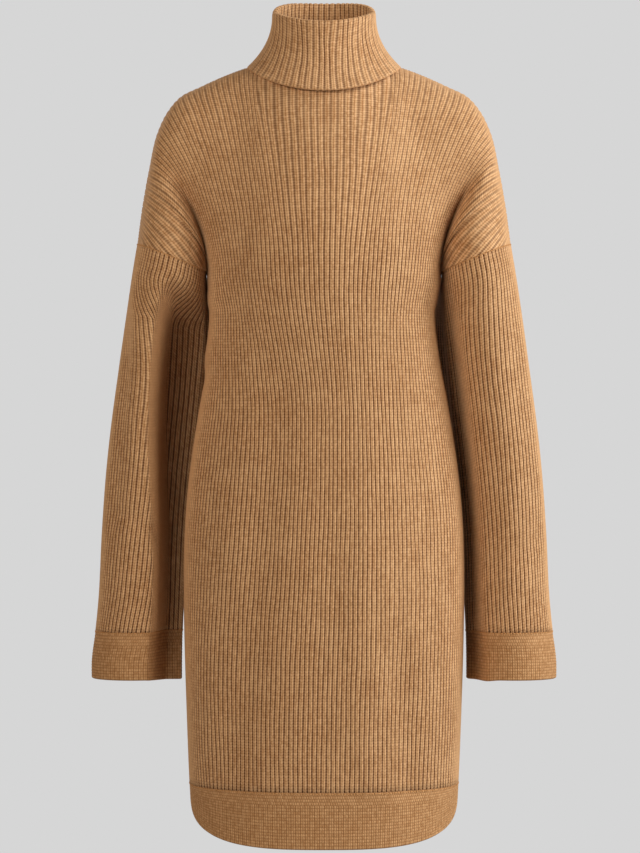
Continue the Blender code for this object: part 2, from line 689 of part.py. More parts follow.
def main():
    """Builds every piece of the dress in an empty scene."""
    for old in list(bpy.data.objects):
        bpy.data.objects.remove(old, do_unlink=True)
    build_panels()
    build_sleeves()
    build_collar()


main()
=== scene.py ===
"""Looks of a rib-knit wool sweater dress with a folded polo collar, dropped shoulders and wide
straight sleeves, in the filled-out form that it has when worn.

The solids of the frame give each piece its place. Here every piece is a thin closed wall of
knitted cloth whose ribs are real relief, with soft creases laid one by one.
Frame: metres, +Z up, the front faces -Y and +X is the right-hand side seen from the front.
Sizes below are millimetres, turned to metres when a mesh is made.
"""

import logging
import math
from dataclasses import dataclass, field
from enum import Enum

import bmesh
import bpy
import numpy as np
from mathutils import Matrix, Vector


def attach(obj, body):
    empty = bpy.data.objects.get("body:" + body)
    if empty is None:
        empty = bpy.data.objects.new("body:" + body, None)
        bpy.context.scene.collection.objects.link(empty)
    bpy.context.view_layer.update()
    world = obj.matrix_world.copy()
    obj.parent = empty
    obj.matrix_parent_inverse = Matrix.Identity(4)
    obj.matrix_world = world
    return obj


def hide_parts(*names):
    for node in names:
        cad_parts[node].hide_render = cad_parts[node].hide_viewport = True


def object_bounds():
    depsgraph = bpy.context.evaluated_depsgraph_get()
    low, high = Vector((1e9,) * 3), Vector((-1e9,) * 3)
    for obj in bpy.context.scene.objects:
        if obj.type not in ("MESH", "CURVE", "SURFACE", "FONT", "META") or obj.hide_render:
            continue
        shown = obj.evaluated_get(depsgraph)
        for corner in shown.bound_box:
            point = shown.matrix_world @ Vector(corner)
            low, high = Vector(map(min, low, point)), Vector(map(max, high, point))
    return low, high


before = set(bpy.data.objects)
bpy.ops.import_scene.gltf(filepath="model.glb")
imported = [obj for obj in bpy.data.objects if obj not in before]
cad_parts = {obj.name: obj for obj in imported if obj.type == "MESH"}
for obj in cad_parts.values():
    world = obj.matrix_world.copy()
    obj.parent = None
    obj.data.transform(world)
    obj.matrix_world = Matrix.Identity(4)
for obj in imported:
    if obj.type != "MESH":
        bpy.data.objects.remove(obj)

CAD_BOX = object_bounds()
MM = 0.001
BODY = "root"
UV_NAME = "knit"

MIRROR = np.array([-1.0, 1.0, 1.0])

Socket = bpy.types.NodeSocket
log = logging.getLogger("sweater_dress")


class Face(Enum):
    """The half of the dress that a panel covers, as its direction along Y."""

    FRONT = -1.0
    BACK = 1.0


class Side(Enum):
    """The side of the dress seen from the front, as its direction along X."""

    RIGHT = 1.0
    LEFT = -1.0


class Slot(Enum):
    """The record's material slots."""

    RIB = "rib_knit"
    BAND = "band_knit"


# ---------------------------------------------------------------- sizes shared by the pieces
WALL = 2.6                 # cloth thickness
SHOWN_GAP = 0.08           # between two visible pieces at a seam
SIDE_Y = 4.0               # side seams and shoulder seams lie in this plane
UNDERARM_Z = -226.0
STITCH_ROW = 3.1           # height of one row of stitches
MOSS_ROWS = 4              # rows of moss stitch at the top of a band
BODY_RIBS = 40             # ribs across half a panel below the underarm
TOP_RIBS = 48              # and above it, where the last eight end in the armhole seam
NECK_RIBS = 12             # of these, the ribs that start at the neckline
SLEEVE_RIBS = 64
COLLAR_RIBS = 54

# Where a grid's columns stand inside one rib: the valley is at 0 and the crest at a half.
RIB_STEPS = np.array([0.0, 0.08, 0.18, 0.32, 0.5, 0.68, 0.82, 0.92])
INNER_EVERY = 4            # the hidden side of the cloth has every fourth column

BODY_SECTIONS = np.array([
    # z,     half_width, front, back, rib_spread
    (-180.0, 134.0, 121.5, 101.0, 1.16),
    (-226.0, 130.0, 122.0, 100.0, 1.14),
    (-272.0, 124.5, 117.0, 94.0, 1.10),
    (-327.0, 130.0, 111.0, 88.0, 1.03),
    (-370.0, 138.0, 108.0, 88.0, 0.97),
    (-412.0, 145.0, 108.0, 92.0, 0.95),
    (-455.0, 151.0, 109.5, 98.0, 0.95),
    (-498.0, 155.0, 111.5, 103.0, 0.95),
    (-560.0, 157.0, 113.5, 107.0, 0.95),
    (-640.0, 156.0, 113.5, 107.0, 0.98),
    (-720.0, 153.5, 111.0, 103.0, 1.00),
    (-806.0, 150.0, 107.0, 98.0, 1.02),
    (-880.0, 146.0, 103.0, 94.0, 1.04),
])

SHOULDER_OUTLINE = np.array([
    # x,     z
    (66.0, 9.0), (95.0, 0.0), (137.0, -18.0), (162.0, -31.0), (176.0, -48.0),
    (186.0, -69.0), (196.0, -112.0), (204.0, -157.0), (209.0, -195.0),
])

YOKE_REACH = np.array([
    # rib,  at_top, at_end
    (0.0, 150.0, 200.0), (12.0, 190.0, 230.0), (24.0, 235.0, 230.0), (32.0, 285.0, 250.0),
    (37.0, 285.0, 265.0), (40.0, 262.0, 260.0), (42.0, 175.0, 150.0), (44.0, 109.0, 72.0),
    (46.0, 52.0, 34.0), (48.0, 0.0, 0.0),
])

SLEEVE_RINGS = np.array([
    # outer_x, outer_z, inner_x, inner_z, depth, middle_y
    (209.0, -195.0, 131.5, -226.0, 70.0, 4.0),
    (214.5, -228.0, 132.5, -250.0, 69.0, 5.0),
    (221.5, -275.0, 134.5, -292.0, 67.0, 7.0),
    (229.5, -330.0, 139.0, -342.0, 64.0, 10.0),
    (238.5, -395.0, 145.0, -402.0, 61.0, 13.0),
    (245.0, -455.0, 151.0, -458.0, 58.0, 15.0),
    (249.5, -520.0, 156.0, -521.0, 55.0, 15.0),
    (252.5, -585.0, 158.5, -585.0, 52.5, 13.0),
    (256.5, -628.0, 160.0, -628.0, 51.5, 12.0),
    (260.5, -660.0, 160.5, -660.0, 51.5, 11.0),
    (260.5, -690.0, 160.5, -690.0, 51.5, 11.0),
])

SLEEVE_LEAN = {
    Side.RIGHT: np.array([
        # back, front
        (0.0, 0.0), (24.0, 2.0), (50.0, 4.0), (50.0, 6.0), (38.0, 7.0), (26.0, 7.0),
        (18.0, 6.0), (15.0, 5.0), (13.0, 4.0), (12.0, 4.0), (12.0, 4.0),
    ]),
    Side.LEFT: np.array([
        # back, front
        (0.0, 0.0), (24.0, 4.0), (50.0, 8.0), (50.0, 8.0), (38.0, 8.0), (26.0, 8.0),
        (18.0, 8.0), (15.0, 8.0), (13.0, 8.0), (12.0, 8.0), (12.0, 8.0),
    ]),
}

# The recess beside the body, where the inner part of a sleeve's front falls back behind a soft
# upright fold: how much of it each ring has, and the turn at which its wall stands.
SLEEVE_RECESS = {
    Side.RIGHT: np.array([
        # share, wall_turn
        (0.0, 0.7), (0.04, 0.7), (0.25, 0.7), (0.35, 0.7), (0.35, 0.7), (0.35, 0.7),
        (0.35, 0.7), (0.35, 0.7), (0.35, 0.7), (0.35, 0.7), (0.35, 0.7),
    ]),
    Side.LEFT: np.array([
        # share, wall_turn
        (0.0, 1.46), (0.06, 1.46), (0.66, 1.50), (1.0, 1.48), (1.0, 1.36), (1.0, 1.18),
        (0.92, 1.00), (0.80, 0.95), (0.66, 0.95), (0.58, 0.96), (0.58, 0.96),
    ]),
}


# ---------------------------------------------------------------- small helpers
def linear(hex_colour: str) -> tuple[float, float, float, float]:
    """Turns an sRGB hex value into the linear colour that a shader takes.

    Args:
        hex_colour: six hex digits after a hash.

    Returns:
        Red, green and blue in linear light, and an alpha of 1.
    """
    parts = [int(hex_colour[i:i + 2], 16) / 255 for i in (1, 3, 5)]
    return (*(c / 12.92 if c <= 0.04045 else ((c + 0.055) / 1.055) ** 2.4 for c in parts), 1.0)


def smooth_step(low: float, high: float, value: np.ndarray | float) -> np.ndarray:
    """0 below low, 1 above high, and an even curve between."""
    t = np.clip((value - low) / (high - low), 0.0, 1.0)
    return t * t * (3.0 - 2.0 * t)


def unit(vectors: np.ndarray) -> np.ndarray:
    """Vectors brought to length 1."""
    return vectors / np.maximum(np.linalg.norm(vectors, axis=-1, keepdims=True), 1e-9)


def arc_lengths(points: np.ndarray) -> np.ndarray:
    """Running length along points, from 0."""
    steps = np.linalg.norm(np.diff(points, axis=0), axis=1)
    return np.concatenate(([0.0], np.cumsum(steps)))


def down_lengths(points: np.ndarray) -> np.ndarray:
    """Running length down each column of a grid, from 0 in the first row."""
    steps = np.linalg.norm(np.diff(points, axis=0), axis=2)
    return np.concatenate((np.zeros((1, points.shape[1])), np.cumsum(steps, axis=0)))


def hermite(t: np.ndarray, start: np.ndarray, leave: np.ndarray, end: np.ndarray,
            arrive: np.ndarray) -> np.ndarray:
    """A smooth curve from start to end with a given speed at each, for t from 0 to 1."""
    return ((2 * t**3 - 3 * t**2 + 1) * start + (t**3 - 2 * t**2 + t) * leave
            + (3 * t**2 - 2 * t**3) * end + (t**3 - t**2) * arrive)


def table_curve(keys: np.ndarray, values: np.ndarray, at: np.ndarray) -> np.ndarray:
    """A smooth curve through a table's rows.

    Args:
        keys: one number for each row.
        values: the rows.
        at: where the curve is read.

    Returns:
        A row of values for each place in at.
    """
    order = np.argsort(keys)
    keys, values = keys[order], values[order]
    slopes = np.gradient(values, keys, axis=0)
    at = np.clip(at, keys[0], keys[-1])
    i = np.clip(np.searchsorted(keys, at, side="right") - 1, 0, len(keys) - 2)
    step = keys[i + 1] - keys[i]
    t = (at - keys[i]) / step
    if values.ndim == 2:
        t, step = t[..., None], step[..., None]
    return hermite(t, values[i], step * slopes[i], values[i + 1], step * slopes[i + 1])


def read_table(table: np.ndarray, at: np.ndarray) -> np.ndarray:
    """A smooth curve through a table that is read by its first column."""
    return table_curve(table[:, 0], table[:, 1:], at)


def read_rows(table: np.ndarray, rows: np.ndarray) -> np.ndarray:
    """A smooth curve through a table that is read by the number of its rows."""
    return table_curve(np.arange(len(table), dtype=float), table, rows)


def fade_in(count: int, steepness: float) -> np.ndarray:
    """A column that rises from 0 to 1 over the first rows and stays there."""
    return np.linspace(0.0, steepness, count).clip(0, 1)[:, None]


def both_halves(points: np.ndarray, half: np.ndarray) -> tuple[np.ndarray, np.ndarray]:
    """A grid and its ribs from the middle out to one side, completed with the other side."""
    whole = np.concatenate((points[:, :0:-1] * MIRROR, points), axis=1)
    return whole, np.concatenate((-half[:0:-1], half))


def put(name: str, data: bpy.types.ID) -> bpy.types.Object:
    """A new object in the scene, at the origin."""
    made = bpy.data.objects.new(name, data)
    bpy.context.scene.collection.objects.link(made)
    return made


def rib_columns(ribs: int) -> np.ndarray:
    """Rib coordinates of a grid's columns from 0 to a number of ribs."""
    return np.concatenate(((np.arange(ribs)[:, None] + RIB_STEPS).ravel(), [float(ribs)]))


# ---------------------------------------------------------------- the form of the dress
@dataclass(frozen=True)
class Collar3:
    """One level ring of the collar: its reach from the side seams' plane and its heights."""

    half_width: float
    front: float
    back: float
    z_front: float
    z_side: float
    z_back: float
    back_rise: float = 0.0       # over 0, the back reaches its height soon behind the side

    def at(self, turn: np.ndarray) -> np.ndarray:
        """Points once round from the centre front."""
        ahead = np.cos(turn) > 0
        reach = np.where(ahead, self.front, self.back)
        centre = np.where(ahead, self.z_front, self.z_back)
        near = np.abs(np.cos(turn)) ** 1.5
        if self.back_rise:
            soon = 1.0 - (1.0 - np.abs(np.cos(turn))) ** self.back_rise
            near = np.where(ahead, near, soon)
        return np.stack((
            self.half_width * np.sin(turn),
            SIDE_Y - reach * np.cos(turn),
            self.z_side + (centre - self.z_side) * near,
        ), axis=-1)


NECK_BASE = Collar3(66.0, 62.0, 52.0, -14.0, 9.0, 16.0)
COLLAR_FOLD = Collar3(58.0, 56.0, 48.0, 49.5, 64.0, 79.5, back_rise=1.8)
COLLAR_EDGE = Collar3(86.0, 83.0, 74.0, -28.5, 4.0, 7.0)


# how steeply the cloth falls away from the neckline
NECK_FALL = {Face.FRONT: 0.85, Face.BACK: 0.55}


@dataclass(frozen=True)
class BodyForm:
    """The outer skin of the body, from the neckline to the rounded hem."""

    section_power: float = 2.2      # squareness of the sections
    section_steps: int = 361        # places in a quarter turn from which a section is read
    chunk: int = 4096               # points that are worked out together
    band_top_z: float = -799.0
    band_side_rise: float = 2.0
    hem_z: float = -861.0
    hem_side_rise: float = 55.0
    hem_corner_power: float = 3.4
    corner_softness: float = 6.0    # ribs over which the neck end of the shoulder is rounded
    corner_fade: int = 7
    neck_sideways: float = 0.35     # how far the cloth leaves the neckline's ends sideways
    seam_square: float = 0.9        # how squarely it meets the armhole seam
    seam_hang: float = 0.45         # and how much it hangs there
    seam_lean: float = 0.12         # how far out it hangs
    small_turn: float = 0.02        # for the seam's direction

    def section(self, share: np.ndarray, z: np.ndarray, face: Face) -> np.ndarray:
        """Points of the body's skin.

        Args:
            share: 0 at the centre to 1 at the side seam, counted in ribs.
            z: level of each point.
            face: front or back.

        Returns:
            A point for each share and level.
        """
        rows = read_table(BODY_SECTIONS, z)
        wide = rows[..., 0].ravel()
        deep = rows[..., 1 if face is Face.FRONT else 2].ravel()
        spread = rows[..., 3].ravel()
        flat = share.ravel()
        places = flat + (spread - 1.0) * flat * (1.0 - flat) ** 2
        quarter = np.linspace(0.0, math.pi / 2, self.section_steps)
        across = np.sin(quarter) ** (2 / self.section_power)
        ahead = np.cos(quarter) ** (2 / self.section_power)
        found = np.empty((flat.size, 2))
        for start in range(0, flat.size, self.chunk):
            part = slice(start, start + self.chunk)
            x, y = wide[part, None] * across, deep[part, None] * ahead
            run = np.cumsum(np.hypot(np.diff(x), np.diff(y)), axis=1)
            run = np.concatenate((np.zeros((len(run), 1)), run), axis=1)
            place = places[part] * run[:, -1]
            k = np.clip((run < place[:, None]).sum(axis=1) - 1, 0, self.section_steps - 2)
            i = np.arange(len(k))
            t = (place - run[i, k]) / (run[i, k + 1] - run[i, k])
            found[part, 0] = x[i, k] + (x[i, k + 1] - x[i, k]) * t
            found[part, 1] = y[i, k] + (y[i, k + 1] - y[i, k]) * t
        found = found.reshape(share.shape + (2,))
        return np.stack((found[..., 0], SIDE_Y + face.value * found[..., 1], z), axis=-1)

    def top_edge(self, rib: np.ndarray, face: Face) -> np.ndarray:
        """Where a rib starts: on the neckline, then along the shoulder to the armhole's top."""
        turns = np.linspace(0.0, math.pi / 2, 160)
        neck = NECK_BASE.at(turns if face is Face.FRONT else math.pi - turns)
        run = arc_lengths(SHOULDER_OUTLINE)
        fine = table_curve(run, SHOULDER_OUTLINE, np.linspace(0.0, run[-1], 240))
        shoulder = np.column_stack((fine[:, 0], np.full(len(fine), SIDE_Y), fine[:, 1]))
        neck_run, shoulder_run = arc_lengths(neck), arc_lengths(shoulder)
        share = np.clip(rib / NECK_RIBS, 0.0, 1.0) * neck_run[-1]
        past = np.clip((rib - NECK_RIBS) / (TOP_RIBS - NECK_RIBS), 0.0, 1.0) * shoulder_run[-1]
        on_neck = np.stack([np.interp(share, neck_run, neck[:, i]) for i in range(3)], axis=-1)
        on_shoulder = np.stack(
            [np.interp(past, shoulder_run, shoulder[:, i]) for i in range(3)], axis=-1)
        return np.where((rib < NECK_RIBS)[..., None], on_neck, on_shoulder)

    def armhole(self, turn: np.ndarray, face: Face) -> np.ndarray:
        """Half the armhole seam: turn is 0 at the underarm and a half turn at the top."""
        outer_x, outer_z, _, inner_z, depth, middle_y = SLEEVE_RINGS[0]
        inner_x = self.section(np.array([1.0]), np.array([UNDERARM_Z]), face)[0, 0]
        along = 0.5 - 0.5 * np.cos(turn)
        return np.stack((
            inner_x + (outer_x - inner_x) * along,
            middle_y + face.value * depth * np.sin(turn),
            inner_z + (outer_z - inner_z) * along,
        ), axis=-1)

    def yoke(self, rib: np.ndarray, down: np.ndarray, face: Face) -> np.ndarray:
        """Points over the chest or the back and the shoulder.

        Args:
            rib: rib coordinates of the columns, from 0.
            down: 0 at the top edge to 1 at the lower edge, one for each row.
            face: front or back.

        Returns:
            A grid of points, a row for each value of down.
        """
        exact = self.top_edge(rib, face)
        window = self.corner_softness * np.clip(
            1.0 - ((rib - NECK_RIBS) / (NECK_RIBS - 1.0)) ** 2, 0.0, 1.0)
        shifts = np.linspace(-1.0, 1.0, 9)
        start = sum(self.top_edge(rib + shift * window, face) for shift in shifts) / len(shifts)

        share = np.clip(rib / BODY_RIBS, 0.0, 1.0)
        level = np.full(rib.shape, UNDERARM_Z)
        on_body = self.section(share, level, face)
        turn = np.clip((rib - BODY_RIBS) / (TOP_RIBS - BODY_RIBS), 0.0, 1.0) * math.pi
        end = np.where((rib <= BODY_RIBS)[..., None], on_body, self.armhole(turn, face))
        reach = read_table(YOKE_REACH, rib)

        past_neck = smooth_step(0.0, NECK_RIBS + 4.0, rib)
        fall = (1.0 - past_neck) * NECK_FALL[face]
        sideways = self.neck_sideways * np.sin(math.pi * past_neck) ** 2
        leave = unit(np.stack((sideways, np.full(rib.shape, face.value), -fall), axis=-1))

        hang = unit(self.section(share, level - 2.0, face) - on_body)
        ahead = np.clip(turn - self.small_turn, 0.0, math.pi)
        behind = np.clip(turn + self.small_turn, 0.0, math.pi)
        seam = unit(self.armhole(ahead, face) - self.armhole(behind, face))
        across_seam = unit(self.seam_square * seam
                           + self.seam_hang * unit(np.array([self.seam_lean, 0.0, -1.0])))
        towards_seam = smooth_step(BODY_RIBS - 6.0, BODY_RIBS + 0.5, rib)[..., None]
        arrive = unit(hang + (across_seam - hang) * towards_seam)

        t = down[:, None, None]
        curve = hermite(t, start, reach[..., :1] * leave, end, reach[..., 1:] * arrive)
        return curve + (1 - t) ** self.corner_fade * (exact - start)

    def band_seam(self, share: np.ndarray) -> np.ndarray:
        """Level of the seam between body and hem band."""
        return self.band_top_z + self.band_side_rise * share**3

    def skirt(self, rib: np.ndarray, down: np.ndarray, face: Face) -> np.ndarray:
        """A grid of points from the underarm level to the seam of the hem band."""
        share = np.broadcast_to(rib / BODY_RIBS, (len(down), len(rib)))
        low = self.band_seam(share) + SHOWN_GAP / 2
        return self.section(share, UNDERARM_Z + (low - UNDERARM_Z) * down[:, None], face)

    def hem_band(self, rib: np.ndarray, down: np.ndarray, face: Face) -> np.ndarray:
        """A grid of points from the band's seam to the rounded hem."""
        share = np.broadcast_to(rib / BODY_RIBS, (len(down), len(rib)))
        top = self.band_seam(share) - SHOWN_GAP / 2
        level = np.full(share[0].shape, self.hem_z)
        across = self.section(share[0], level, face)[:, 0]
        across = np.clip(across / self.section(np.array([1.0]), level[:1], face)[0, 0], 0.0, 1.0)
        corner = 1.0 - (1.0 - across**self.hem_corner_power) ** (1 / self.hem_corner_power)
        low = self.hem_z + self.hem_side_rise * corner
        return self.section(share, top + (low - top) * down[:, None], face)


@dataclass(frozen=True)
class SleeveForm:
    """The outer skin of a sleeve and its cuff, drawn on the right and mirrored for the left."""

    side: Side
    clearance: float = 3.5       # between the sleeve and the body beside it
    underarm_gap: float = 1.8
    lean_power: float = 1.5
    recess_depth: float = 0.62   # of a full recess behind the ring's middle, over the ring's depth
    end_sag: float = 5.0         # how far the cuff's end hangs lower in the recess
    sag_front: tuple[float, float] = (1.25, 0.75)   # turns where the sag starts and is full
    sag_back: tuple[float, float] = (-1.2, -0.2)
    sag_rows: tuple[float, float] = (2.5, 1.3)      # the same in rows before the table's end
    recess_wall: float = 0.24    # half the turn that the recess's wall takes up
    floor_flatness: float = 2.5  # how soon a recess's floor is flat, as the recess deepens
    ring_steps: int = 481

    def row_at(self, z: float) -> float:
        """The row of the ring table whose outer point is at a level."""
        return float(np.interp(-z, -SLEEVE_RINGS[:, 1], np.arange(len(SLEEVE_RINGS))))

    def grid(self, shares: np.ndarray, rows: np.ndarray) -> np.ndarray:
        """Points of the sleeve with an even spacing round each ring.

        Args:
            shares: 0 at the underarm, once round over the front to 1.
            rows: places in the ring table, one for each row of points.

        Returns:
            A grid of points on the sleeve's own side.
        """
        turn = np.linspace(0.0, 2 * math.pi, self.ring_steps)
        rings = read_rows(SLEEVE_RINGS, rows)[:, None, :]
        lean = read_rows(SLEEVE_LEAN[self.side], rows)[:, None, :]
        outer_x, outer_z, inner_x, inner_z, depth, middle_y = np.moveaxis(rings, -1, 0)
        along, forwards = 0.5 - 0.5 * np.cos(turn), np.sin(turn)
        push = np.where(forwards > 0, lean[..., 1], -lean[..., 0])
        push = push * np.abs(forwards) ** self.lean_power * (1.0 - along)
        points = np.stack(np.broadcast_arrays(
            inner_x + (outer_x - inner_x) * along + push,
            middle_y - depth * self.recessed(forwards, turn, rows),
            inner_z + (outer_z - inner_z) * along,
        ), axis=-1)
        points = self.clear_of_body(points)
        either_way = (turn + math.pi) % (2 * math.pi) - math.pi
        hidden = smooth_step(*self.sag_front, either_way) * smooth_step(*self.sag_back, either_way)
        end = smooth_step(*(len(SLEEVE_RINGS) - np.array(self.sag_rows)), rows)
        share = read_rows(SLEEVE_RECESS[self.side], rows)[:, :1]
        points[..., 2] -= self.end_sag * share * end[:, None] * hidden
        found = np.empty((len(rows), len(shares), 3))
        for row, ring in enumerate(points):
            run = arc_lengths(ring)
            for axis in range(3):
                found[row, :, axis] = np.interp(shares * run[-1], run, ring[:, axis])
        found[..., 0] *= self.side.value
        return found

    def recessed(self, forwards: np.ndarray, turn: np.ndarray, rows: np.ndarray) -> np.ndarray:
        """How far forwards a ring's points stand, with the recess beside the body pushed back."""
        table = read_rows(SLEEVE_RECESS[self.side], rows)
        deep, wall = self.recess_depth * table[:, :1], table[:, 1:]
        floor = 1.0 - smooth_step(wall - self.recess_wall, wall + self.recess_wall, turn)
        front = forwards * (1.0 - floor * np.minimum(1.0, self.floor_flatness * deep)) - deep * floor
        inner_back = forwards * (1.0 - deep) - deep
        forwards = np.where(turn < math.pi / 2 + self.recess_wall, front, forwards)
        return np.where(turn > 1.5 * math.pi, inner_back, forwards)

    def clear_of_body(self, points: np.ndarray) -> np.ndarray:
        """Pushes points out until they stand clear of the body beside them."""
        power = BodyForm.section_power
        rows = read_table(BODY_SECTIONS, points[..., 2])
        y = points[..., 1] - SIDE_Y
        depth = np.where(y < 0, rows[..., 1], rows[..., 2])
        inside = np.clip(1.0 - (np.abs(y) / depth) ** power, 0.0, 1.0)
        low = smooth_step(UNDERARM_Z, UNDERARM_Z - 40.0, points[..., 2])
        gap = self.underarm_gap + (self.clearance - self.underarm_gap) * low
        least = rows[..., 0] * inside ** (1 / power) + gap
        softness = 1.5
        clear = softness * np.logaddexp(points[..., 0] / softness, least / softness)
        near = smooth_step(UNDERARM_Z + 8.0, UNDERARM_Z - 12.0, points[..., 2])
        moved = points.copy()
        moved[..., 0] += (clear - points[..., 0]) * near
        return moved


# ---------------------------------------------------------------- creases
@dataclass(frozen=True)
class Crease:
    """A soft trough (depth over 0) or ridge (under 0) along a line on a piece.

    Places are across and z: across is x on a panel, and the share of the way round on a tube.
    """

    across_top: float
    z_top: float
    across_low: float
    z_low: float
    depth: float
    half_width: float
    bow: float = 0.0             # how far the middle of the line swings sideways
    taper: float = 0.18          # share of the length over which each end fades out

    def press(self, across: np.ndarray, z: np.ndarray, scale: float) -> np.ndarray:
        """How far each point moves in.

        Args:
            across: each point's place across, in the crease's own measure.
            z: each point's level.
            scale: millimetres in one unit of across.

        Returns:
            Millimetres inwards.
        """
        line = np.array([(self.across_low - self.across_top) * scale, self.z_low - self.z_top])
        length = np.hypot(*line)
        x, y = (across - self.across_top) * scale, z - self.z_top
        along = (x * line[0] + y * line[1]) / length**2
        swing = self.bow * 4 * np.clip(along, 0.0, 1.0) * (1 - np.clip(along, 0.0, 1.0))
        beside = (x * -line[1] + y * line[0]) / length - swing
        fade = smooth_step(-self.taper, self.taper, along)
        fade = fade * smooth_step(1 + self.taper, 1 - self.taper, along)
        return self.depth * fade * np.exp(-((beside / self.half_width) ** 2))


# the fullness below the underarms, where the body's sides stand close to the sleeves
SIDE_FULLNESS = (
    Crease(-130.0, -228.5, -130.0, -262.0, -2.4, 15.0),
    Crease(-128.0, -252.0, -133.0, -335.0, -4.5, 17.0),
    Crease(130.0, -228.5, 129.0, -264.0, -2.4, 15.0),
)

PANEL_CREASES = {
    Face.FRONT: SIDE_FULLNESS + (
        # the folds of the solid
        Crease(-48.0, -345.0, -101.0, -790.0, 5.0, 24.0),
        Crease(52.0, -360.0, 46.0, -700.0, -2.5, 34.0),
        Crease(78.0, -640.0, 99.0, -815.0, 3.5, 16.0),
        Crease(52.0, -140.0, 38.0, -262.0, 2.2, 20.0),
        Crease(-100.0, -150.0, -92.0, -262.0, 2.2, 18.0),
        # smaller ones
        Crease(-118.0, -430.0, -70.0, -520.0, 1.4, 15.0, bow=6.0),
        Crease(96.0, -420.0, 118.0, -560.0, 1.2, 14.0, bow=-5.0),
        Crease(14.0, -520.0, -8.0, -770.0, 1.5, 20.0, bow=6.0),
        Crease(-124.0, -610.0, -132.0, -790.0, -1.6, 13.0),
        Crease(120.0, -250.0, 70.0, -330.0, 1.6, 14.0, bow=-6.0),
        Crease(-116.0, -262.0, -66.0, -338.0, 1.8, 13.0, bow=6.0),
        Crease(30.0, -700.0, 58.0, -806.0, -1.4, 15.0),
        Crease(-30.0, -55.0, -66.0, -130.0, 1.0, 12.0),
        Crease(92.0, -30.0, 118.0, -120.0, 1.1, 15.0),
    ),
    Face.BACK: SIDE_FULLNESS + (
        Crease(55.0, -250.0, 84.0, -720.0, 4.5, 24.0),
        Crease(-46.0, -300.0, -92.0, -800.0, 5.0, 26.0),
        Crease(-118.0, -318.0, -30.0, -352.0, 3.0, 14.0),
        Crease(0.0, -120.0, 8.0, -240.0, 2.5, 22.0),
        Crease(18.0, -420.0, 6.0, -720.0, -2.0, 26.0, bow=8.0),
        Crease(112.0, -300.0, 40.0, -338.0, 2.0, 12.0, bow=-5.0),
        Crease(-122.0, -470.0, -128.0, -700.0, -1.8, 15.0),
        Crease(118.0, -560.0, 124.0, -780.0, 1.6, 14.0),
        Crease(-60.0, -60.0, -92.0, -170.0, 1.4, 15.0),
        Crease(74.0, -50.0, 98.0, -150.0, 1.2, 14.0),
    ),
}

SLEEVE_CREASES = {
    # across is the share of the way round: 0.25 is the front, 0.5 the outside, 0.75 the back
    Side.LEFT: (
        Crease(0.40, -250.0, 0.36, -500.0, -2.6, 13.0, bow=4.0),
        Crease(0.47, -300.0, 0.46, -505.0, 2.4, 12.0),
        Crease(0.46, -492.0, 0.24, -530.0, 2.2, 11.0, bow=-4.0),
        Crease(0.30, -545.0, 0.34, -622.0, -1.2, 14.0),
        Crease(0.70, -300.0, 0.78, -470.0, 2.6, 15.0, bow=6.0),
        Crease(0.62, -470.0, 0.84, -500.0, 2.4, 12.0, bow=4.0),
        Crease(0.88, -380.0, 0.86, -600.0, -1.8, 15.0),
    ),
    Side.RIGHT: (
        Crease(0.42, -245.0, 0.43, -520.0, -1.8, 13.0, bow=-3.0),
        Crease(0.28, -430.0, 0.20, -560.0, 1.6, 13.0, bow=4.0),
        Crease(0.44, -510.0, 0.28, -548.0, 1.4, 11.0),
        Crease(0.34, -560.0, 0.36, -620.0, -1.0, 13.0),
        Crease(0.72, -280.0, 0.66, -450.0, 2.4, 15.0, bow=-6.0),
        Crease(0.60, -455.0, 0.80, -486.0, 2.2, 12.0, bow=4.0),
        Crease(0.84, -420.0, 0.90, -610.0, -1.8, 15.0),
    ),
}


def wavering(rib: np.ndarray, run: np.ndarray, seed: int) -> np.ndarray:
    """A smooth uneven number near -1 to 1 for each point, for ribs that are never quite straight.

    Args:
        rib: rib coordinate of each point.
        run: millimetres along the rib.
        seed: which unevenness.

    Returns:
        A number for each point.
    """
    draw = np.random.default_rng(seed)
    total = np.zeros(np.broadcast(rib, run).shape)
    for length, share in ((260.0, 0.5), (120.0, 0.35), (55.0, 0.15)):
        slant, phase = draw.uniform(-0.9, 0.9), draw.uniform(0.0, 2 * math.pi)
        across, second = draw.uniform(0.35, 1.1), draw.uniform(0.0, 2 * math.pi)
        total += share * np.sin(2 * math.pi * run / length + slant * rib + phase) \
            * np.cos(across * rib + second)
    return total


